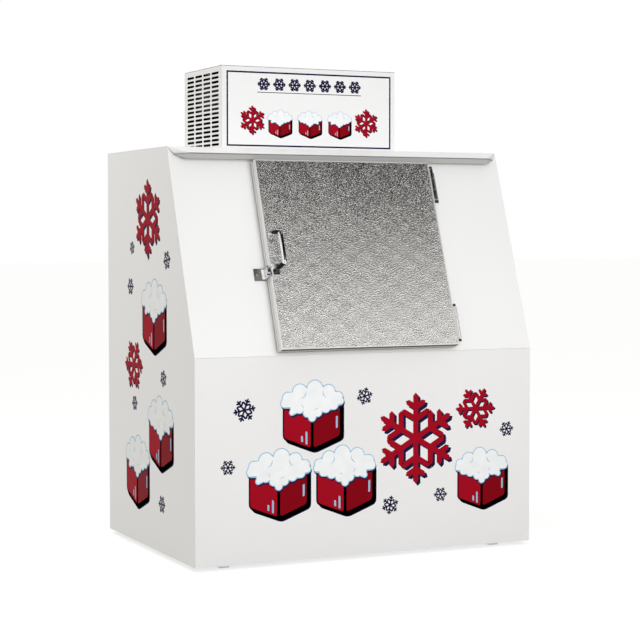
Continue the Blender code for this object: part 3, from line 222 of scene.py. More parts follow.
def surface(name, colour, rough, metal=0.0, drift=(1.6, 0.02), grain=(420, 0.0004), relief=0.06):
    """A finish whose tone and gloss drift in clouds, over a fine grain of some scale and height."""
    material, tree = new_material(name)
    place = put(tree, "TexCoord", name="place").outputs["Object"]
    cloud = put(tree, "TexNoise", place, name="cloud", Scale=drift[0], Detail=5)
    tone = put(tree, "ValToRGB", cloud, name="tone")
    low, high = tone.color_ramp.elements
    low.position, high.position = tone_band
    low.color = (*[c * (1 - drift[1]) for c in colour], 1)
    high.color = (*colour, 1)
    gloss = put(tree, "MapRange", cloud, *gloss_band, *rough, name="gloss")
    fine = put(tree, "TexNoise", place, name="grain", Scale=grain[0], Detail=2)
    bump = put(tree, "Bump", name="relief", Strength=relief, Distance=grain[1], Height=fine)
    shader = tree.nodes["Principled BSDF"]
    adjust(shader, Metallic=metal, Base_Color=tone, Roughness=gloss, Normal=bump)
    return material


def detailed(*finish):
    """A finish to add to: its material, its node tree and the place that its textures follow."""
    material = surface(*finish)
    return material, material.node_tree, material.node_tree.nodes["place"].outputs["Object"]


def coat(material, *names):
    """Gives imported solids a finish."""
    for name in names:
        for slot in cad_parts[name].material_slots:
            slot.material = material


white_enamel = surface("white_enamel", enamel_white, enamel_gloss)
coat(white_enamel, "front_panel", "back_panel", "top_panel", "slope_panel")
coat(white_enamel, "side_panel_left", "side_panel_right")


# Skids and bottom pan: hot-dipped galvanised steel, folded. The dip leaves spangles, which are zinc
# crystals of a centimetre or so, each with a tone and gloss of its own.
zinc_grey = (0.62, 0.63, 0.64)
crystal_share = 0.45


def zinc(name, colour, crystals=85):
    """Galvanised sheet: flat crystals over the drift and grain of bare metal."""
    material, tree, place = detailed(name, colour, (0.30, 0.46), 1.0, (6, 0.12), (700, 0.0002), 0.2)
    nodes = tree.nodes
    crystal = put(tree, "TexVoronoi", place, Scale=crystals, Randomness=1.0)
    shade = put(tree, "SeparateColor", crystal.outputs["Color"])
    mixed = put(tree, "Mix", Factor=crystal_share, A=nodes["cloud"], B=shade)
    adjust(nodes["tone"], Fac=mixed)
    adjust(nodes["gloss"], Value=mixed)
    return material


galvanised = zinc("galvanised", zinc_grey)
coat(galvanised, "skid_left", "skid_right", "bottom_pan")


# Rain lip: a folded strip of the same enamelled sheet over the door, its ends mitred back to the panel
# and its folds eased by the brake's radius. Its faces that look down are painted a darker grey as painted
# shade, and a dark grey cord in the fold under its nose is a painted shadow line.
lip_fold_radius = 0.0006
lip_white = (0.895, 0.895, 0.89)
lip_underside_shade = (0.51, 0.51, 0.50)
crease_height = 0.699
top_setback = 0.2566
slope_rise = 0.710
lean = atan2(top_setback, slope_rise)
slope_length = hypot(top_setback, slope_rise)
panel_low, panel_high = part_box("front_panel")
crease = Vector((0, panel_low.y, panel_low.z + crease_height))
upright = Matrix.Rotation(pi / 2, 4, "X")
slope_seat = Matrix.Translation(crease) @ Matrix.Rotation(-lean, 4, "X") @ upright
shade_cord_radius = 0.0017
shade_cord_sides = 10
lip_end = Vector((panel_high.x - 0.0188, slope_length - 0.0299, 0.008))
lip_nose = Vector((panel_high.x - 0.0605, slope_length - 0.0389, 0.044))
shade_cord_drop = 0.0016
shade_cord_path = []
for hand, corner in [(-1, lip_end), (-1, lip_nose), (1, lip_nose), (1, lip_end)]:
    inside = corner - Vector((shade_cord_drop, shade_cord_drop, shade_cord_drop))
    shade_cord_path.append(Vector((hand * inside.x, inside.y, inside.z)))


def show(name, form, finishes, body, *stands_for, seat=None, sharp=35):
    """Makes a piece of a form, puts it on its seat and body, and hides what it stands for."""
    if seat:
        bmesh.ops.transform(form, verts=form.verts, matrix=seat)
    bmesh.ops.recalc_face_normals(form, faces=form.faces)
    mesh = bpy.data.meshes.new(name)
    form.to_mesh(mesh)
    form.free()
    for finish in finishes:
        mesh.materials.append(finish)
    mesh.shade_smooth()
    mesh.set_sharp_from_angle(angle=radians(sharp))
    piece = placed(name, mesh)
    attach(piece, body)
    if stands_for:
        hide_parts(*stands_for)
    return piece


merge_distance = 0.000001
flat_turn = radians(1)
sharp_turn = radians(35)


def eased(node, radius, finish, body, steps=2):
    """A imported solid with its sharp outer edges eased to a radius, shown in its place."""
    form = bmesh.new()
    form.from_mesh(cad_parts[node].data)
    bmesh.ops.remove_doubles(form, verts=form.verts, dist=merge_distance)
    bmesh.ops.dissolve_limit(form, angle_limit=flat_turn, verts=form.verts, edges=form.edges)
    sharp = [e for e in form.edges if e.is_manifold and e.calc_face_angle_signed() > sharp_turn]
    rounding = {"segments": steps, "profile": 0.5, "affect": "EDGES", "clamp_overlap": True}
    bmesh.ops.bevel(form, geom=sharp, offset=radius, **rounding)
    piece = show(node + "_eased", form, [finish], body, node, sharp=50)
    flats = piece.modifiers.new("flat_faces", "WEIGHTED_NORMAL")
    flats.keep_sharp = True
    return piece


def painted(material, share, second, blend="MIX"):
    """Lays a second colour over a finish's own tone, by a share."""
    tree = material.node_tree
    paint = put(tree, "Mix", data_type="RGBA", blend_type=blend)
    for number, term in [(0, share), (6, tree.nodes["tone"]), (7, second)]:
        fill(paint.inputs[number], term)
    adjust(tree.nodes["Principled BSDF"], Base_Color=paint.outputs[2])
    return material


def shaded_underneath(name, colour, under_shade_colour, threshold):
    """Enamel above, and a darker colour on the faces that look down: painted shade."""
    material, tree, place = detailed(name, colour, enamel_gloss)
    apart = put(tree, "SeparateXYZ", put(tree, "NewGeometry").outputs["Normal"])
    downward_shade = put(tree, "MapRange", apart.outputs["Z"], threshold, threshold - 0.05)
    return painted(material, downward_shade, (*under_shade_colour, 1))


# The lip's faces that look down get the darker grey: painted shade.
lip_paint = shaded_underneath("lip_paint", lip_white, lip_underside_shade, -0.06)
eased("rain_lip", lip_fold_radius, lip_paint, "cabinet")


def sleeve(form, ring, following):
    """The wall of faces between two rings of corners."""
    pairs = [(i - 1, i) for i in range(len(ring))]
    return [form.faces.new((ring[i], ring[j], following[j], following[i])) for i, j in pairs]


def cord(form, path, radius):
    """A round cord along a path of points, mitred at its turns."""
    rings = []
    for number, place in enumerate(path):
        ahead = (path[min(number + 1, len(path) - 1)] - place).normalized()
        behind = (place - path[max(number - 1, 0)]).normalized()
        run = (ahead + behind).normalized()
        across = across - run * across.dot(run) if rings else run.orthogonal()
        across.normalize()
        outward = run.cross(across)
        turns = [2 * pi * i / shade_cord_sides for i in range(shade_cord_sides)]
        spokes = [across * cos(turn) + outward * sin(turn) for turn in turns]
        rings.append([form.verts.new(place + spoke * radius) for spoke in spokes])
    for ring, following in zip(rings, rings[1:]):
        sleeve(form, ring, following)
    form.faces.new(rings[0])
    form.faces.new(rings[-1])


# The dark grey cord in the fold under the nose is a painted shadow line.
shade_cord_grey = surface("shade_cord_grey", (0.24, 0.24, 0.24), (0.55, 0.75), 0.0, (30, 0.2), (700, 0.0002), 0.2)
shade_cord = bmesh.new()
cord(shade_cord, shade_cord_path, shade_cord_radius)
show("lip_shade_cord", shade_cord, [shade_cord_grey], "cabinet", seat=slope_seat)


# Insulation: rigid polyurethane foam, tan and full of fine cells. It is blown into the walls and into
# the door as a liquid, sets there, and binds the sheets on both sides together.
foam_tan = (0.80, 0.66, 0.40)
foam_cells = 330
foam, tree, place = detailed("blown_foam", foam_tan, (0.85, 0.95), 0.0, (12, 0.18), (260, 0.0012), 0.7)
adjust(tree.nodes["relief"], Height=put(tree, "TexVoronoi", place, Scale=foam_cells))
coat(foam, "insulation", "door_core")


# Liner: seven flat sheets of prepainted steel, white and a little glossier than the outside, with the
# light scuffs that bags of ice leave.
liner_white = (0.80, 0.81, 0.81)
liner_paint = surface("liner_paint", liner_white, (0.26, 0.44), 0.0, (9, 0.05), (300, 0.0004), 0.08)
for wall in ("left", "right", "floor", "front", "back", "top", "slope"):
    coat(liner_paint, "liner_" + wall)


# Breaker frame, control box and drain: grey moulded plastic with a pebbled grain. The door's thermal
# break is a paler strip of the same.
plastic_grey = (0.28, 0.29, 0.30)
break_grey = (0.58, 0.57, 0.55)
moulding = (0.42, 0.58)
pebbles = (900, 0.0006)
moulded_grey = surface("moulded_grey", plastic_grey, moulding, 0.0, (14, 0.08), pebbles, 0.3)
coat(moulded_grey, "opening_breaker", "control_box", "floor_drain")
moulded_pale = surface("moulded_pale", break_grey, moulding, 0.0, (14, 0.06), pebbles, 0.3)
coat(moulded_pale, "door_break")


# Door's inner pan: pressed steel in a warm grey baked paint, scuffed by the bags. Its faces that look
# down are painted a browner grey: painted shade.
pan_grey = (0.82, 0.80, 0.755)
# The browner colour of the downward faces is painted shade.
pan_underside_shade = (0.44, 0.425, 0.375)
coat(shaded_underneath("pan_paint", pan_grey, pan_underside_shade, -0.5), "door_inner_pan")


# Floor rack: a thick galvanised plate, cut with long slots, that lies loose on the liner's floor. Melt
# runs through the slots to the drain under the bags.
coat(zinc("rack_zinc", (0.56, 0.57, 0.58), 60), "floor_rack")


# Evaporator: a folded cover of galvanised sheet, screwed to the liner, round a pack of thin aluminium
# fins that are pressed onto the tubes. The fins' edges show as fine lines.
coat(zinc("case_zinc", zinc_grey, 110), "evaporator_case")
wave_scale = 0.314


def finned(name, colour, pitch, axis):
    """A pack of fins: fine lines across an axis, with the dust and dents of thin foil."""
    material, tree, place = detailed(name, colour, (0.32, 0.50), 1.0, (18, 0.22), (500, 0.0006), 0.5)
    lines = put(tree, "TexWave", place, wave_scale / pitch, 0.4, 1.0, bands_direction=axis)
    adjust(tree.nodes["relief"], Height=lines.outputs["Fac"])
    return material


coat(finned("evaporator_fins", (0.70, 0.71, 0.72), 0.0025, "X"), "evaporator_coil")


# Evaporator fan: a pressed aluminium wheel on a small black motor, behind a guard of zinc-plated wire.
# The motor hangs on a bracket behind the fin pack and draws the air through it.
fan_grey = (0.66, 0.67, 0.68)
motor_black = (0.022, 0.022, 0.023)
wire_zinc = (0.74, 0.75, 0.76)
fan_metal = surface("fan_metal", fan_grey, (0.28, 0.42), 1.0, (20, 0.12), (600, 0.0003), 0.2)
motor_enamel = surface("motor_enamel", motor_black, (0.30, 0.46), 0.0, (16, 0.3), (500, 0.0004), 0.2)
guard_wire = surface("guard_wire", wire_zinc, (0.16, 0.28), 1.0, (30, 0.08), (800, 0.0002), 0.1)
coat(fan_metal, "evaporator_fan", "condenser_fan")
coat(motor_enamel, "evaporator_motor", "condenser_motor")
coat(guard_wire, "evaporator_guard")


# Condensing unit: it stands on a galvanised deck. The condenser is a fin pack coated against salt air,
# in front of a shroud in black enamel, and the compressor is a black can with a weld bead round its
# middle.
coat(zinc("deck_zinc", zinc_grey, 75), "housing_deck")
coat(finned("condenser_fins", (0.045, 0.046, 0.05), 0.0022, "Y"), "condenser_coil")
can_black = (0.018, 0.018, 0.019)
can_enamel = surface("can_enamel", can_black, (0.24, 0.40), 0.0, (11, 0.3), (350, 0.0005), 0.2)
coat(can_enamel, "compressor", "fan_shroud")
can_low, can_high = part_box("compressor")
can_half = (can_high.x - can_low.x) / 2
can_radius = 0.082
bead_radius = 0.0035
bead_level = can_low.z + 0.075


def lathe(form, outline, place, axis, sides=24, finish=0):
    """Turns an outline of radii and heights about an axis through a place."""
    turn = Vector((0, 0, 1)).rotation_difference(Vector(axis)).to_matrix()
    rings = []
    for radius, height in outline:
        angles = [2 * pi * i / sides for i in range(sides if radius else 1)]
        around = [Vector((radius * cos(a), radius * sin(a), height)) for a in angles]
        rings.append([form.verts.new(Vector(place) + turn @ point) for point in around])
    for ring, following in zip(rings, rings[1:]):
        for i in range(sides):
            ends = [ring[(i - 1) % len(ring)], ring[i % len(ring)]]
            ends += [following[i % len(following)], following[(i - 1) % len(following)]]
            corners = list(dict.fromkeys(ends))
            if len(corners) > 2:
                form.faces.new(corners).material_index = finish


def profile(radius, height, *shares):
    """Points of an outline to turn, as shares of a radius and a height."""
    return [(radius * reach, height * rise) for reach, rise in shares]


bead = bmesh.new()
bead_steps = 12
bead_turns = [2 * pi * step / bead_steps for step in range(bead_steps + 1)]
bead_section = [(can_radius + bead_radius * cos(a), bead_radius * sin(a)) for a in bead_turns]
can_middle = (can_low.x + can_half, can_high.y - can_half, bead_level)
lathe(bead, bead_section, can_middle, (0, 0, 1), 64)
bmesh.ops.remove_doubles(bead, verts=bead.verts, dist=merge_distance)
show("compressor_weld_bead", bead, [can_enamel], "cabinet")


# Refrigerant lines: soft copper tube, bent by hand and brazed at both ends. The heat of the brazing has
# browned it a little.
copper_red = (0.70, 0.33, 0.19)
copper = surface("drawn_copper", copper_red, (0.20, 0.38), 1.0, (14, 0.35), (500, 0.0002), 0.15)
coat(copper, "suction_line", "liquid_line", "discharge_line")


# Housing on the roof: slotted side trays, a slotted back sheet, a front sheet and a lid. They have the
# cabinet's enamel outside and near black inside, painted shade that makes the slots show as black.
inside_shade_black = (0.012, 0.012, 0.013, 1)
paint_depth = 0.0001


def shaded_inside(name, axis, face, inward):
    """Enamel on one side of a sheet; near black painted shade behind it and in the slots' cut edges."""
    material, tree, place = detailed(name, enamel_white, enamel_gloss)
    apart = put(tree, "SeparateXYZ", place)
    test = "GREATER_THAN" if inward > 0 else "LESS_THAN"
    behind = maths(tree, test, apart.outputs[axis], face + inward * paint_depth)
    return painted(material, behind, inside_shade_black)


front_low, front_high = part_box("housing_front")
rear_low, rear_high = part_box("housing_back")
lid_low, lid_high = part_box("housing_lid")
# Near black inside each sheet: painted shade.
coat(shaded_inside("housing_left_paint", "X", front_low.x, 1), "housing_side_left")
coat(shaded_inside("housing_right_paint", "X", front_high.x, -1), "housing_side_right")
coat(shaded_inside("housing_front_paint", "Y", front_low.y, 1), "housing_front")
coat(shaded_inside("housing_back_paint", "Y", rear_high.y, -1), "housing_back")
coat(shaded_inside("housing_lid_paint", "Z", lid_high.z, -1), "housing_lid")


# Sheet screws: zinc-plated heads, a hexagon on a round flange. They hold the lid, the housing's back and
# the cabinet's back panel to the folded edges behind them.
screw_flange_radius = 0.0055
screw_hex_radius = 0.0042
screw_flange_height = 0.0009
screw_flange_crown = screw_flange_height * 1.4
screw_hex_height = 0.0034
screw_edge = 0.011
screw_metal = (0.70, 0.69, 0.65)
screw_zinc = surface("screw_zinc", screw_metal, (0.24, 0.36), 1.0, (60, 0.15), (900, 0.0002), 0.15)
screw_flange = profile(screw_flange_radius, screw_flange_height, (0, 0), (1, 0), (1, 1))
screw_flange += [(screw_hex_radius, screw_flange_crown), (0, screw_flange_crown)]
screw_head = [(0, screw_flange_height), (screw_hex_radius, screw_flange_height)]
screw_head += profile(screw_hex_radius, screw_hex_height, (1, 0.9), (0.88, 1), (0.6, 1), (0, 0.82))


def hex_screws(name, axis, *grids):
    """Hexagon flange heads at every crossing of each grid's values of x, y and z."""
    form = bmesh.new()
    for grid in grids:
        for place in itertools.product(*grid):
            lathe(form, screw_flange, place, axis)
            lathe(form, screw_head, place, axis, 6)
    show(name, form, [screw_zinc], "cabinet")


def along(low, high, margin, count):
    """Evenly spaced values between two ends, with a margin at both."""
    start = low + margin
    end = high - margin
    return [start + (end - start) * i / (count - 1) for i in range(count)]


lid_x = along(lid_low.x, lid_high.x, screw_edge, 2)
lid_y = along(lid_low.y, lid_high.y, 3 * screw_edge, 3)
hex_screws("lid_screws", (0, 0, 1), (lid_x, lid_y, [lid_high.z]))
rear_x = along(rear_low.x, rear_high.x, screw_edge / 2 + 0.002, 2)
rear_z = along(rear_low.z, rear_high.z, 3 * screw_edge, 3)
hex_screws("housing_back_screws", (0, 1, 0), (rear_x, [rear_high.y], rear_z))
back_low, back_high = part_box("back_panel")
back_grids = []
for x_margin, x_count, z_margin, z_count in [(1, 2, 4, 7), (10, 5, 1, 2)]:
    back_x = along(back_low.x, back_high.x, x_margin * screw_edge, x_count)
    back_z = along(back_low.z, back_high.z, z_margin * screw_edge, z_count)
    back_grids.append((back_x, [back_high.y], back_z))
hex_screws("back_panel_screws", (0, 1, 0), *back_grids)


# Thermostat knob: moulded black plastic with a skirt, a fluted grip and a white pointer line. Short
# strokes printed round it on the back sheet are its scale.
knob_low, knob_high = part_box("thermostat_knob")
knob_radius = (knob_high.x - knob_low.x) / 2
knob_height = 0.014
knob_middle = (knob_low + knob_high) / 2
knob_middle.y = knob_high.y - knob_height
knob_flutes = 18
flute_depth = 0.035
shaft_radius = 0.003
shaft_depth = 0.0015
knob_dark = (0.02, 0.02, 0.021)
line_white = (0.80, 0.80, 0.78)
knob_black = surface("knob_black", knob_dark, (0.30, 0.44), 0.0, (60, 0.2), (1200, 0.0002), 0.2)
pointer_white = surface("pointer_white", line_white, (0.4, 0.5), 0.0, (60, 0.05), (900, 0.0001), 0.1)
knob = bmesh.new()
knob_profile = [(0, -shaft_depth), (shaft_radius, -shaft_depth), (shaft_radius, 0), (knob_radius, 0)]
knob_profile += profile(knob_radius, knob_height, (1, 0.14), (0.84, 0.30), (0.80, 0.92), (0.74, 1))
knob_profile += profile(knob_radius, knob_height, (0.40, 0.985), (0, 0.97))
lathe(knob, knob_profile, knob_middle, (0, 1, 0), knob_flutes * 4)
for corner in knob.verts:
    offset = corner.co - knob_middle
    reach = hypot(offset.x, offset.z)
    if knob_height * 0.2 < offset.y < knob_height * 0.99 and reach > knob_radius * 0.6:
        turn = atan2(offset.z, offset.x)
        pinch = 1 - flute_depth * (1 + cos(turn * knob_flutes))
        corner.co.x = knob_middle.x + offset.x * pinch
        corner.co.z = knob_middle.z + offset.z * pinch


def prism(form, foot, top, finish=0):
    """A closed block between two outlines."""
    foot, top = [[form.verts.new(point) for point in outline] for outline in (foot, top)]
    for face in [form.faces.new(top), form.faces.new(foot[::-1]), *sleeve(form, foot, top)]:
        face.material_index = finish


line_half = 0.0007
line_start = knob_middle.z + 0.15 * knob_radius
line_end = knob_middle.z + 0.72 * knob_radius
line_levels = [knob_middle.y + knob_height * share for share in (0.96, 0.997)]
line = oblong(knob_middle.x - line_half, line_start, knob_middle.x + line_half, line_end)
prism(knob, *[[(x, level, z) for x, z in line] for level in line_levels], 1)
show("thermostat_knob_fluted", knob, [knob_black, pointer_white], "thermostat_knob", "thermostat_knob")
ink_black = (0.02, 0.02, 0.022)
print_black = surface("print_black", ink_black, (0.40, 0.55), 0.0, (40, 0.1), (900, 0.0001), 0.1)
film_lift = 0.00002
scale_strokes = 11
scale_sweep = radians(270)
scale_inner = knob_radius * 1.18
scale_outer = knob_radius * 1.42
scale_half = 0.0005
scale_height = 0.00012
dial = bmesh.new()
centre = Vector((knob_middle.x, rear_high.y + film_lift, knob_middle.z))
for stroke in range(scale_strokes):
    angle = pi / 2 - scale_sweep / 2 + scale_sweep * stroke / (scale_strokes - 1)
    out = Vector((cos(angle), 0, sin(angle)))
    across = Vector((-out.z, 0, out.x)) * scale_half
    ring = oblong(-1, scale_inner, 1, scale_outer)
    foot = [centre + (out * reach + across * side) for side, reach in ring]
    prism(dial, foot, [point + Vector((0, scale_height, 0)) for point in foot])
show("thermostat_scale", dial, [print_black], "cabinet")


# Cord gland and gasket: black synthetic rubber, matt, with the fine dust that it draws. The gland is
# moulded, and the gasket is an extruded strip pressed into the door's inner side.
rubber_black = (0.022, 0.022, 0.022)
rubber = surface("black_rubber", rubber_black, (0.60, 0.78), 0.0, (35, 0.35), (650, 0.0003), 0.25)
coat(rubber, "cord_gland", "door_gasket")


# Door face: one sheet of embossed aluminium. Rollers press a close pattern of crooked ridges into it, in
# swirls that repeat, so that each ridge mirrors another part of the room.
face_metal = (0.95, 0.945, 0.935)
crease_shade_tone = 0.50
crease_shade_band = (0.0, 0.45)
ridge_scale = 157
ridge_height = 0.00042
ridge_depth = 5.0
ridge_squeeze = 1.7
swirl_pitch = {"X": 0.180, "Z": 0.070}
swirl_share = 0.22
swirl_tone = 0.045


def embossed(name):
    """Rolled aluminium: ridges drawn out into swirls, with painted shade darkening their creases."""
    finish = (name, face_metal, (0.16, 0.26), 1.0, (5, 0.03), (300, ridge_height), 1.0)
    material, tree, place = detailed(*finish)
    turn = put(tree, "Mapping", place, Rotation=(lean, 0, 0), Scale=(ridge_squeeze, 1, 1))
    apart = put(tree, "SeparateXYZ", turn).outputs
    swirled = put(tree, "CombineXYZ", Y=apart["Y"])
    sways = []
    for start, end in [("X", "Z"), ("Z", "X")]:
        sway = maths(tree, "SINE", maths(tree, "MULTIPLY", apart[start], 2 * pi / swirl_pitch[start]))
        reach = swirl_share * swirl_pitch[start] / (2 * pi)
        fill(swirled.inputs[end], maths(tree, "MULTIPLY_ADD", sway, reach, apart[end]))
        sways.append(sway)
    ridges = put(tree, "TexNoise", swirled, Scale=ridge_scale, Detail=0.0)
    folded = maths(tree, "ABSOLUTE", maths(tree, "SUBTRACT", ridges, 0.5))
    deep = maths(tree, "MULTIPLY", folded, ridge_depth)
    # The creases' darker tone is painted shade.
    crease = put(tree, "MapRange", deep, *crease_shade_band, crease_shade_tone, 1.0 - swirl_tone)
    both = maths(tree, "MULTIPLY", *sways)
    swirl_and_crease_shade = maths(tree, "MULTIPLY_ADD", both, swirl_tone, crease)
    adjust(tree.nodes["relief"], Height=deep)
    return painted(material, 1.0, swirl_and_crease_shade, "MULTIPLY")


coat(embossed("embossed_aluminium"), "door_face")


# Door rim: bright anodised aluminium, drawn as a channel, cut to length and mitred at the four corners.
# Its outer edge is rounded, and the brushing runs along each bar. A black strip along the lower bar's
# underside is a painted dark reflection.
door_width = 0.683
door_offset = -0.0085
door_bottom = 0.009
door_top_gap = 0.0599
door_front = 0.045
rim_depth = 0.0212
rim_width = 0.0042
rim_gauge = 0.0012
rim_corner = 0.0018
rim_steps = 4
mitre_gap = 0.00012
door_height = slope_length - door_bottom - door_top_gap
brush_length = 0.03


def brushed(name, colour, stretch):
    """Anodised metal with fine brushing: the grain is drawn out along one direction of the slope."""
    material, tree, place = detailed(name, colour, (0.30, 0.42), 0.45, (7, 0.06), (900, 0.0002), 0.35)
    turn = put(tree, "Mapping", place, Rotation=(lean, 0, 0), Scale=stretch)
    adjust(tree.nodes["grain"], Vector=turn)
    return material


rim_metal = (0.80, 0.80, 0.79)
rim_across = brushed("rim_brushed_across", rim_metal, (brush_length, 1, 1))
rim_upright = brushed("rim_brushed_upright", rim_metal, (1, 1, brush_length))
rim_back = door_front - rim_depth
rim_section = [(0, rim_back)]
for step in range(rim_steps + 1):
    angle = pi / 2 * step / rim_steps
    inset = rim_corner * (1 - cos(angle))
    rim_section.append((inset, door_front - rim_corner * (1 - sin(angle))))
rim_section += [(rim_width - rim_gauge / 3, door_front), (rim_width, door_front - rim_gauge / 3)]
rim_section += [(rim_width, door_front - rim_gauge), (rim_gauge, door_front - rim_gauge)]
rim_section.append((rim_gauge, rim_back))
rim_corners = oblong(-1, 0, 1, 1)
rim = bmesh.new()
for number, start in enumerate(rim_corners):
    end = rim_corners[(number + 1) % 4]
    rings = []
    for (hand, up), (other_hand, other_up) in [(start, end), (end, start)]:
        ring = []
        for inset, level in rim_section:
            x = door_offset + hand * (door_width / 2 - inset)
            y = door_bottom + (inset if up == 0 else door_height - inset)
            x += (other_hand - hand) / 2 * mitre_gap
            y += (other_up - up) * mitre_gap
            ring.append((x, y, level))
        rings.append(ring)
    prism(rim, *rings, number % 2)
show("door_rim_mitred", rim, [rim_across, rim_upright], "door", "door_rim", seat=slope_seat)
# A black strip under the lower bar: a painted dark reflection.
reflection_strip = bmesh.new()
strip_inset = 0.004
strip_gauge = 0.001
strip_low = rim_back + 0.006
strip_high = door_front - rim_corner - 0.001
strip_slant = 0.0008
strip_section = [(0, strip_low), (0, strip_high)]
strip_section += [(-strip_gauge, strip_high - strip_slant), (-strip_gauge, strip_low + strip_slant)]
strip_ends = []
for hand in (-1, 1):
    x = door_offset + hand * (door_width / 2 - strip_inset)
    strip_ends.append([(x, door_bottom + drop, level) for drop, level in strip_section])
prism(reflection_strip, *strip_ends)
show("door_reflection_strip", reflection_strip, [rubber], "door", seat=slope_seat)


# Hinges: chromed castings, a leaf screwed to the leaning front and one to the door's edge, with a pin
# between them. Each leaf's edges are eased, pan-head screws with a deep socket hold its foot, and black
# nylon caps close both ends of the pin.
chrome_bright = (0.80, 0.80, 0.81)
chrome = surface("bright_chrome", chrome_bright, (0.05, 0.11), 1.0, (30, 0.04), (900, 0.00008), 0.06)
for end in ("top", "bottom"):
    eased("hinge_cabinet_leaf_" + end, 0.0007, chrome, "cabinet")
    eased("hinge_door_leaf_" + end, 0.0006, chrome, "door")
hinge_x = door_offset + door_width / 2 + 0.0105
hinge_foot_level = 0.0033
hinge_screw_x = hinge_x + 0.019
hinge_screw_spread = 0.044
hinge_end_distance = 0.082
pan_radius = 0.0056
pan_height = 0.0030
pan_socket = 0.0021
nylon = (0.02, 0.02, 0.02)
socket_black = surface("socket_black", nylon, (0.5, 0.7), 0.0, (80, 0.2), (900, 0.0001), 0.1)
pan = profile(pan_radius, pan_height, (0, 0), (1, 0), (1, 0.35), (0.88, 0.72), (0.66, 0.94))
pan += profile(pan_socket, pan_height, (1.1, 1), (1, 0.96), (1, 0.25))
socket = profile(pan_socket, pan_height, (1, 0.25), (0, 0.22))
hinge_middles = [door_bottom + hinge_end_distance, door_bottom + door_height - hinge_end_distance]
hinge_half_length = 0.059
hinge_axis_level = 0.036
cap_radius = 0.0054
cap_length = 0.010
cap_section = [(0, 0.0024), (0.0046, 0.0024), (cap_radius, 0.0030)]
cap_section += profile(cap_radius, cap_length, (1, 0.75), (0.8, 0.95), (0, 1))
pan_screws = bmesh.new()
end_caps = bmesh.new()
for middle, hand in itertools.product(hinge_middles, (-1, 1)):
    spot = (hinge_screw_x, middle + hand * hinge_screw_spread, hinge_foot_level)
    lathe(pan_screws, pan, spot, (0, 0, 1))
    lathe(pan_screws, socket, spot, (0, 0, 1), finish=1)
    pin_end = (hinge_x, middle + hand * hinge_half_length, hinge_axis_level)
    lathe(end_caps, cap_section, pin_end, (0, hand, 0), 20)
bmesh.ops.remove_doubles(pan_screws, verts=pan_screws.verts, dist=merge_distance)
show("hinge_screws", pan_screws, [chrome, socket_black], "cabinet", seat=slope_seat)
show("hinge_end_caps", end_caps, [socket_black], "cabinet", seat=slope_seat)


# Handle post, latch body, bolt and strike: chromed castings with eased edges, and a strike plate in a
# darker brown chrome, a painted dark reflection. Small rivets close the post's pin.
eased("handle_post", 0.0008, chrome, "door")
eased("latch_body", 0.0026, chrome, "door", 4)
eased("latch_bolt", 0.0008, chrome, "latch_bolt")
eased("strike_keeper", 0.0009, chrome, "cabinet")
# The strike plate's darker brown chrome is a painted dark reflection.
strike_reflection_brown = (0.36, 0.34, 0.31)
strike_dark_reflection = surface("strike_dark_reflection", strike_reflection_brown, (0.10, 0.20), 1.0, (45, 0.25), (900, 0.0001), 0.1)
eased("strike_plate", 0.0008, strike_dark_reflection, "cabinet")
handle_x = door_offset - door_width / 2 + 0.017
post_width = 0.020
post_spacing = 0.128
pivot_level = door_front + 0.0127
door_middle = door_bottom + door_height / 2
post_y = door_middle + post_spacing / 2
latch_y = door_middle - post_spacing / 2
rivet_radius = 0.0036
rivet_height = 0.0016
rivet = bmesh.new()
rivet_section = profile(rivet_radius, rivet_height, (0, 0), (1, 0), (0.9, 0.5), (0.5, 0.9), (0, 1))
for hand in (-1, 1):
    lathe(rivet, rivet_section, (handle_x + hand * post_width / 2, post_y, pivot_level), (hand, 0, 0))
show("handle_pin_rivets", rivet, [chrome], "door", seat=slope_seat)


# Pull handle: a forged bow, slim at its feet and full in the grip, bent smoothly. The grip is chromed,
# and its two legs are near black, a painted dark reflection. The upper end turns on the post, and the
# lower end rests on the latch body.
handle_bends = (0.017, 0.017, 0.009, 0.012)
bend_steps = 10
handle_sides = 28
grip_level = door_front + 0.060
leg_level = pivot_level + 0.018
grip_x = handle_x + 0.013
handle_turns = [
    (handle_x, post_y, pivot_level - 0.005),
    (handle_x, post_y, leg_level),
    (grip_x, post_y - 0.010, grip_level),
    (grip_x, latch_y + 0.010, grip_level),
    (handle_x, latch_y, leg_level),
    (handle_x, latch_y, door_front + 0.0156),
]
leg_half_width = 0.005
leg_half_thickness = 0.0042
grip_half_width = 0.0095
grip_half_thickness = 0.0052
section_power = 0.88
leg_flare = 0.0024
leg_reflection_from = leg_level - 0.004
leg_reflection_to = grip_level - 0.003
swell_power = 0.36


def eased_turn(start, corner, end, steps):
    """Points on a smooth turn from a start to an end, drawn towards a corner."""
    shares = [step / steps for step in range(steps + 1)]
    return [start.lerp(corner, share).lerp(corner.lerp(end, share), share) for share in shares]


def rounded_path(turns, radii, steps):
    """A path through the turns with each inner corner rounded to its radius."""
    turns = [Vector(turn) for turn in turns]
    path = [turns[0]]
    for before, corner, after, radius in zip(turns, turns[1:], turns[2:], radii):
        back = (before - corner).normalized()
        ahead = (after - corner).normalized()
        half = back.angle(ahead) / 2
        spare = min((before - corner).length, (after - corner).length) / 2
        reach = min(radius / tan(half), spare)
        path += eased_turn(corner + back * reach, corner, corner + ahead * reach, steps)
    path.append(turns[-1])
    return path


def squared(angle):
    """The cosine and sine of an angle, drawn out a little towards a rounded square."""
    pair = (cos(angle), sin(angle))
    return [copysign(abs(term) ** section_power, term) for term in pair]


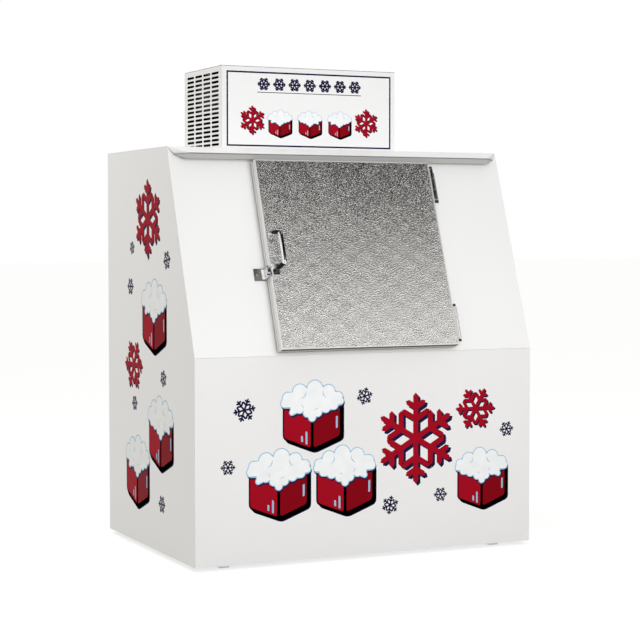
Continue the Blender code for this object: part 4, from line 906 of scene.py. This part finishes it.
def bowed(path, sides):
    """The handle's form along its path, with flat ends."""
    form = bmesh.new()
    rings = []
    swell_start = pivot_level + 0.009
    across = Vector((1, 0, 0))
    for number, place in enumerate(path):
        ahead = path[min(number + 1, len(path) - 1)]
        behind = path[max(number - 1, 0)]
        run = (ahead - behind).normalized()
        across = (across - run * across.dot(run)).normalized()
        outward = run.cross(across)
        rise = min(1, max(0, (place.z - swell_start) / (grip_level - swell_start)))
        fullness = rise ** swell_power
        flare = leg_flare * sin(pi * rise)
        wide = leg_half_width + (grip_half_width - leg_half_width) * fullness
        thick = leg_half_thickness + (grip_half_thickness - leg_half_thickness) * fullness + flare
        ring = []
        for side in range(sides):
            cosine, sine = squared(2 * pi * side / sides)
            ring.append(form.verts.new(place + (across * cosine * wide + outward * sine * thick)))
        rings.append(ring)
    for place, ring, following in zip(path, rings, rings[1:]):
        for wall in sleeve(form, ring, following):
            wall.material_index = int(leg_reflection_from < place.z < leg_reflection_to)
    form.faces.new(rings[0])
    form.faces.new(rings[-1])
    return form


# The legs' near black is a painted dark reflection.
leg_reflection_dark = (0.006, 0.006, 0.006)
leg_painted_reflection = surface("leg_painted_reflection", leg_reflection_dark, (0.30, 0.42), 0.0, (60, 0.2), (900, 0.0001), 0.1)
adjust(leg_painted_reflection.node_tree.nodes["Principled BSDF"], Specular_IOR_Level=0.12)
handle = bowed(rounded_path(handle_turns, handle_bends, bend_steps), handle_sides)
looks = [chrome, leg_painted_reflection]
show("pull_handle_forged", handle, looks, "pull_handle", "pull_handle", seat=slope_seat, sharp=60)


# Printed films on the lower front: snow-capped ice cubes and snowflakes, cut from navy, two reds, pale
# blue and white film and laid on one another. Each film stands a little prouder than the one under it.
film_index = 1.06
film_levels = (0.00010, 0.00016, 0.00022, 0.00028, 0.00034, 0.00040, 0.00046)
films = []
for name, colour, rough, drift in [
    ("navy_film", (0.012, 0.010, 0.050), (0.28, 0.38), (8, 0.10)),
    ("red_film", (0.360, 0.005, 0.016), (0.28, 0.38), (6, 0.06)),
    ("dark_red_film", (0.235, 0.003, 0.009), (0.28, 0.38), (6, 0.06)),
    ("pale_blue_film", (0.33, 0.55, 0.72), (0.28, 0.38), (10, 0.10)),
    ("snow_film", (0.90, 0.92, 0.93), (0.30, 0.42), (30, 0.05)),
]:
    films.append(surface(name, colour, rough, 0.0, drift, (500, 0.0001), 0.1))
    adjust(films[-1].node_tree.nodes["Principled BSDF"], IOR=film_index)
navy, red, dark_red, blue, snow = range(5)


def slab(sheet, outline, level, finish):
    """One cut-out of film on a sheet, a form with its seat, from just off the panel to a level."""
    form, seat = sheet
    heights = (film_lift, film_levels[level])
    prism(form, *[[seat(x, y, height) for x, y in outline] for height in heights], finish)


soft_limit = 2.2
soft_steps = 4


def softened(outline, radius):
    """An outline with its corners rounded."""
    soft = []
    turns = [Vector(point) for point in outline]
    for before, corner, after in zip(turns[-1:] + turns, turns, turns[1:] + turns[:1]):
        back = before - corner
        ahead = after - corner
        reach = min(radius, back.length / soft_limit, ahead.length / soft_limit)
        start = corner + back.normalized() * reach
        soft += eased_turn(start, corner, corner + ahead.normalized() * reach, soft_steps)
    return soft


flake_branches = ((0.42, 0.34), (0.68, 0.22))
sixth = radians(60)


def flake(x, y, reach, half, turn):
    """The outline of a six-armed snowflake with two pairs of pointed branches on each arm."""
    cosine = cos(sixth)
    sine = sin(sixth)
    wide_notch = 1.732 * half
    narrow_notch = 0.577 * half
    arm = [(wide_notch, half)]
    for place, length in flake_branches:
        root = place * reach
        tip = length * reach
        arm.append((root - narrow_notch, half))
        arm.append((root - sine * half + cosine * tip, cosine * half + sine * tip))
        arm.append((root + cosine * (tip + half), sine * (tip + half)))
        arm.append((root + sine * half + cosine * tip, sine * tip - cosine * half))
        arm.append((root + wide_notch, half))
    arm.append((reach - half, half))
    whole = [(a, -b) for a, b in arm] + [(reach, 0)] + arm[::-1]
    outline = []
    for number in range(6):
        angle = turn + sixth * number
        cosine = cos(angle)
        sine = sin(angle)
        outline += [(x + a * cosine - b * sine, y + a * sine + b * cosine) for a, b in whole[1:]]
    return outline


cloud_steps = 120


def cloud(middle, lobes, swell):
    """The outline of round lobes that run together, seen from a point inside them all."""
    outline = []
    for step in range(cloud_steps):
        angle = 2 * pi * step / cloud_steps
        run = Vector((cos(angle), sin(angle)))
        far = 0
        for x, y, radius in lobes:
            offset = Vector((x, y)) - Vector(middle)
            ahead = offset.dot(run)
            room = (radius + swell) ** 2 - offset.length_squared + ahead ** 2
            if room > 0:
                far = max(far, ahead + sqrt(room))
        outline.append((middle[0] + run.x * far, middle[1] + run.y * far))
    return outline


cube_corners = [(0, 0.12), (-0.86, 0.43), (0, 0.74), (0.86, 0.43)]
cube_corners += [(0, -0.92), (-0.86, -0.59), (0.86, -0.59)]
cap_lobes = [
    (-0.70, 0.50, 0.16), (-0.36, 0.65, 0.21), (0.08, 0.72, 0.23), (0.48, 0.63, 0.19),
    (0.77, 0.49, 0.13), (0.83, 0.37, 0.10), (0.64, 0.27, 0.12), (0.40, 0.21, 0.13),
    (0.16, 0.10, 0.12), (0.00, -0.04, 0.10), (-0.14, 0.10, 0.12), (-0.37, 0.22, 0.13),
    (-0.54, 0.24, 0.10), (-0.58, 0.12, 0.075), (-0.79, 0.37, 0.12), (0.0, 0.42, 0.34),
    (-0.42, 0.44, 0.24), (0.42, 0.44, 0.23),
]
cap_curls = (1, 3, 8, 11)
curl_steps = 8
curl_half_turn = 0.8


def curl(sheet, x, y, radius, facing):
    """A pale line inside a lobe of snow, on its inner side, that swells in its middle."""
    inner = []
    outer = []
    for step in range(curl_steps + 1):
        angle = facing + pi - curl_half_turn + 2 * curl_half_turn * step / curl_steps
        thick = radius * 0.06 * sin(pi * step / curl_steps)
        for line, reach in [(inner, radius * 0.85 - thick), (outer, radius * 0.85 + thick)]:
            line.append((x + reach * cos(angle), y + reach * sin(angle)))
    slab(sheet, outer + inner[::-1][1:-1], 6, blue)


edge_share = 0.045
face_inset = 2.2
shadow_step = 0.022
glint_width = 0.055
glints = [(-1, 0.14, -0.76, -0.42), (-1, 0.27, -0.69, -0.53), (1, 0.70, -0.36, -0.04)]


def ice_cube(sheet, x, y, reach, hand=1):
    """A snow-capped cube: navy shadow and edges, red faces, the right one in shade, and glints."""
    line = reach * edge_share
    corners = [(x + a * reach, y + b * reach) for a, b in cube_corners]
    front, left, back, right, front_foot, left_foot, right_foot = corners
    body = softened([back, left, left_foot, front_foot, right_foot, right], reach * 0.12)
    for step in range(5):
        shadow = reach * shadow_step * step
        slab(sheet, [(a + shadow, b - shadow) for a, b in body], 1, navy)
    for side, side_foot, finish in [(left, left_foot, red), (right, right_foot, dark_red)]:
        corners = [Vector(corner) for corner in (front, side, side_foot, front_foot)]
        centre = sum(corners, Vector((0, 0))) / 4
        inner = [centre + (corner - centre) * (1 - face_inset * line / reach) for corner in corners]
        slab(sheet, softened(inner, reach * 0.09), 2, finish)
    for side, start, low, high in glints:
        ring = [(0, low), (glint_width, low + 0.02), (glint_width, high + 0.02), (0, high)]
        glint = [(x + side * (start + across) * reach, y + up * reach) for across, up in ring]
        slab(sheet, softened(glint, reach * 0.026), 3, blue)
    lobes = [(x + hand * a * reach, y + b * reach, r * reach) for a, b, r in cap_lobes]
    heart = (x, y + 0.40 * reach)
    shift, drop = 0.02 * reach, 0.05 * reach
    lower = (heart[0] + shift, heart[1] - drop)
    lower_lobes = [(a + shift, b - drop, r) for a, b, r in lobes]
    slab(sheet, cloud(lower, lower_lobes, line * 0.4), 3, navy)
    slab(sheet, cloud(heart, lobes, line * 0.5), 4, blue)
    slab(sheet, cloud(heart, lobes, -line * 0.05), 5, snow)
    for number in cap_curls:
        a, b, r = lobes[number]
        curl(sheet, a, b, r, atan2(b - heart[1], a - heart[0]))


def snowflake(sheet, x, y, reach, finish, turn, half, shade=True):
    """A snowflake of one colour over its navy shadow."""
    outline = flake(x, y, reach, reach * half, radians(turn))
    if shade:
        shadow = reach * 0.06
        slab(sheet, [(a + shadow, b - shadow) for a, b in outline], 1, navy)
    slab(sheet, outline, 2, finish)


def small_flakes(sheet, way, places):
    """Navy flakes without a shadow: how far across and up, the reach and the turn of each."""
    for x, y, reach, turn in places:
        snowflake(sheet, way * x, y, reach, navy, turn, 0.075, False)


base_level = panel_low.z
front_face = panel_low.y


def on_front(x, y, height):
    """A place on the lower front: across, up, and out from the sheet."""
    return (x, front_face - height, base_level + y)


front_print = (bmesh.new(), on_front)
ice_cube(front_print, -0.345, 0.262, 0.128)
ice_cube(front_print, -0.095, 0.262, 0.128, -1)
ice_cube(front_print, -0.220, 0.490, 0.128)
ice_cube(front_print, 0.448, 0.238, 0.116, -1)
snowflake(front_print, 0.180, 0.395, 0.160, red, 30, 0.062)
snowflake(front_print, 0.420, 0.490, 0.080, red, 0, 0.07)
small_flakes(front_print, 1, [
    (-0.47, 0.52, 0.042, 10), (-0.53, 0.33, 0.028, 0), (0.080, 0.165, 0.034, 20),
    (0.280, 0.190, 0.028, 0), (-0.02, 0.55, 0.032, 15), (0.55, 0.41, 0.030, 5),
])
show("front_print", front_print[0], films, "cabinet")


# Printed films on the sides: the same cubes and flakes, cut from the same films and laid on the enamel
# by hand. They are set one above another up each side.
left_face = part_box("side_panel_left")[0].x
right_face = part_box("side_panel_right")[1].x


def on_side(face, way):
    """A side's seat: across is the way back from the front edge, taken as minus on the left."""
    return lambda x, y, height: (face + way * height, front_face + way * x, base_level + y)


for name, face, way in [("left_print", left_face, -1), ("right_print", right_face, 1)]:
    side_print = (bmesh.new(), on_side(face, way))
    snowflake(side_print, way * 0.455, 1.165, 0.140, red, 30, 0.07)
    ice_cube(side_print, way * 0.395, 0.820, 0.138)
    snowflake(side_print, way * 0.610, 0.640, 0.095, red, 0, 0.075)
    ice_cube(side_print, way * 0.330, 0.415, 0.138, -1)
    ice_cube(side_print, way * 0.575, 0.255, 0.138)
    small_flakes(side_print, way, [
        (0.26, 1.02, 0.036, 10), (0.64, 0.92, 0.034, 0), (0.30, 0.61, 0.032, 20),
        (0.60, 0.50, 0.030, 5), (0.32, 0.17, 0.034, 0), (0.62, 1.06, 0.026, 15),
    ])
    show(name, side_print[0], films, "cabinet")


# Sign: a bright white film on the housing's front sheet with a navy keyline round it. Inside stand a row
# of small navy flakes, a rule, and a row of cubes and flakes.
sign_face = front_low.y
sign_middle = (front_low.x + front_high.x) / 2
sign_left = front_low.x + 0.0192
sign_right = front_high.x - 0.0159
sign_low = 1.435
sign_high = 1.6995
keyline = 0.0058
film_gap = 0.0001
field_white = (0.865, 0.87, 0.87)
film_field = surface("field_film", field_white, (0.30, 0.42), 0.0, (5, 0.015), (500, 0.0001), 0.05)


def on_sign(x, y, height):
    """A place on the sign: across, up from the floor, and out from the sheet."""
    return (x, sign_face - height, y)


def rule(left, low, right, high, level=1, finish=navy):
    """A plain oblong of film on the sign."""
    slab(sign_print, oblong(left, low, right, high), level, finish)


sign_print = (bmesh.new(), on_sign)
rule(sign_left, sign_low, sign_right, sign_high, 0, len(films))
rule(sign_left, sign_low, sign_right, sign_low + keyline)
rule(sign_left, sign_high - keyline, sign_right, sign_high)
upright_low = sign_low + keyline + film_gap
upright_high = sign_high - keyline - film_gap
rule(sign_left, upright_low, sign_left + keyline, upright_high)
rule(sign_right - keyline, upright_low, sign_right, upright_high)
for step in range(-3, 4):
    snowflake(sign_print, sign_middle + step * 0.060, 1.656, 0.0255, navy, 0, 0.10, False)
rule(sign_middle - 0.205, 1.6255, sign_middle + 0.205, 1.6280)
for step in range(3):
    ice_cube(sign_print, sign_middle + (step - 1) * 0.118, 1.517, 0.052, (-1) ** step)
for hand in (-1, 1):
    snowflake(sign_print, sign_middle + hand * 0.225, 1.528, 0.052, red, 30, 0.075)
show("sign_print", sign_print[0], films + [film_field], "cabinet")
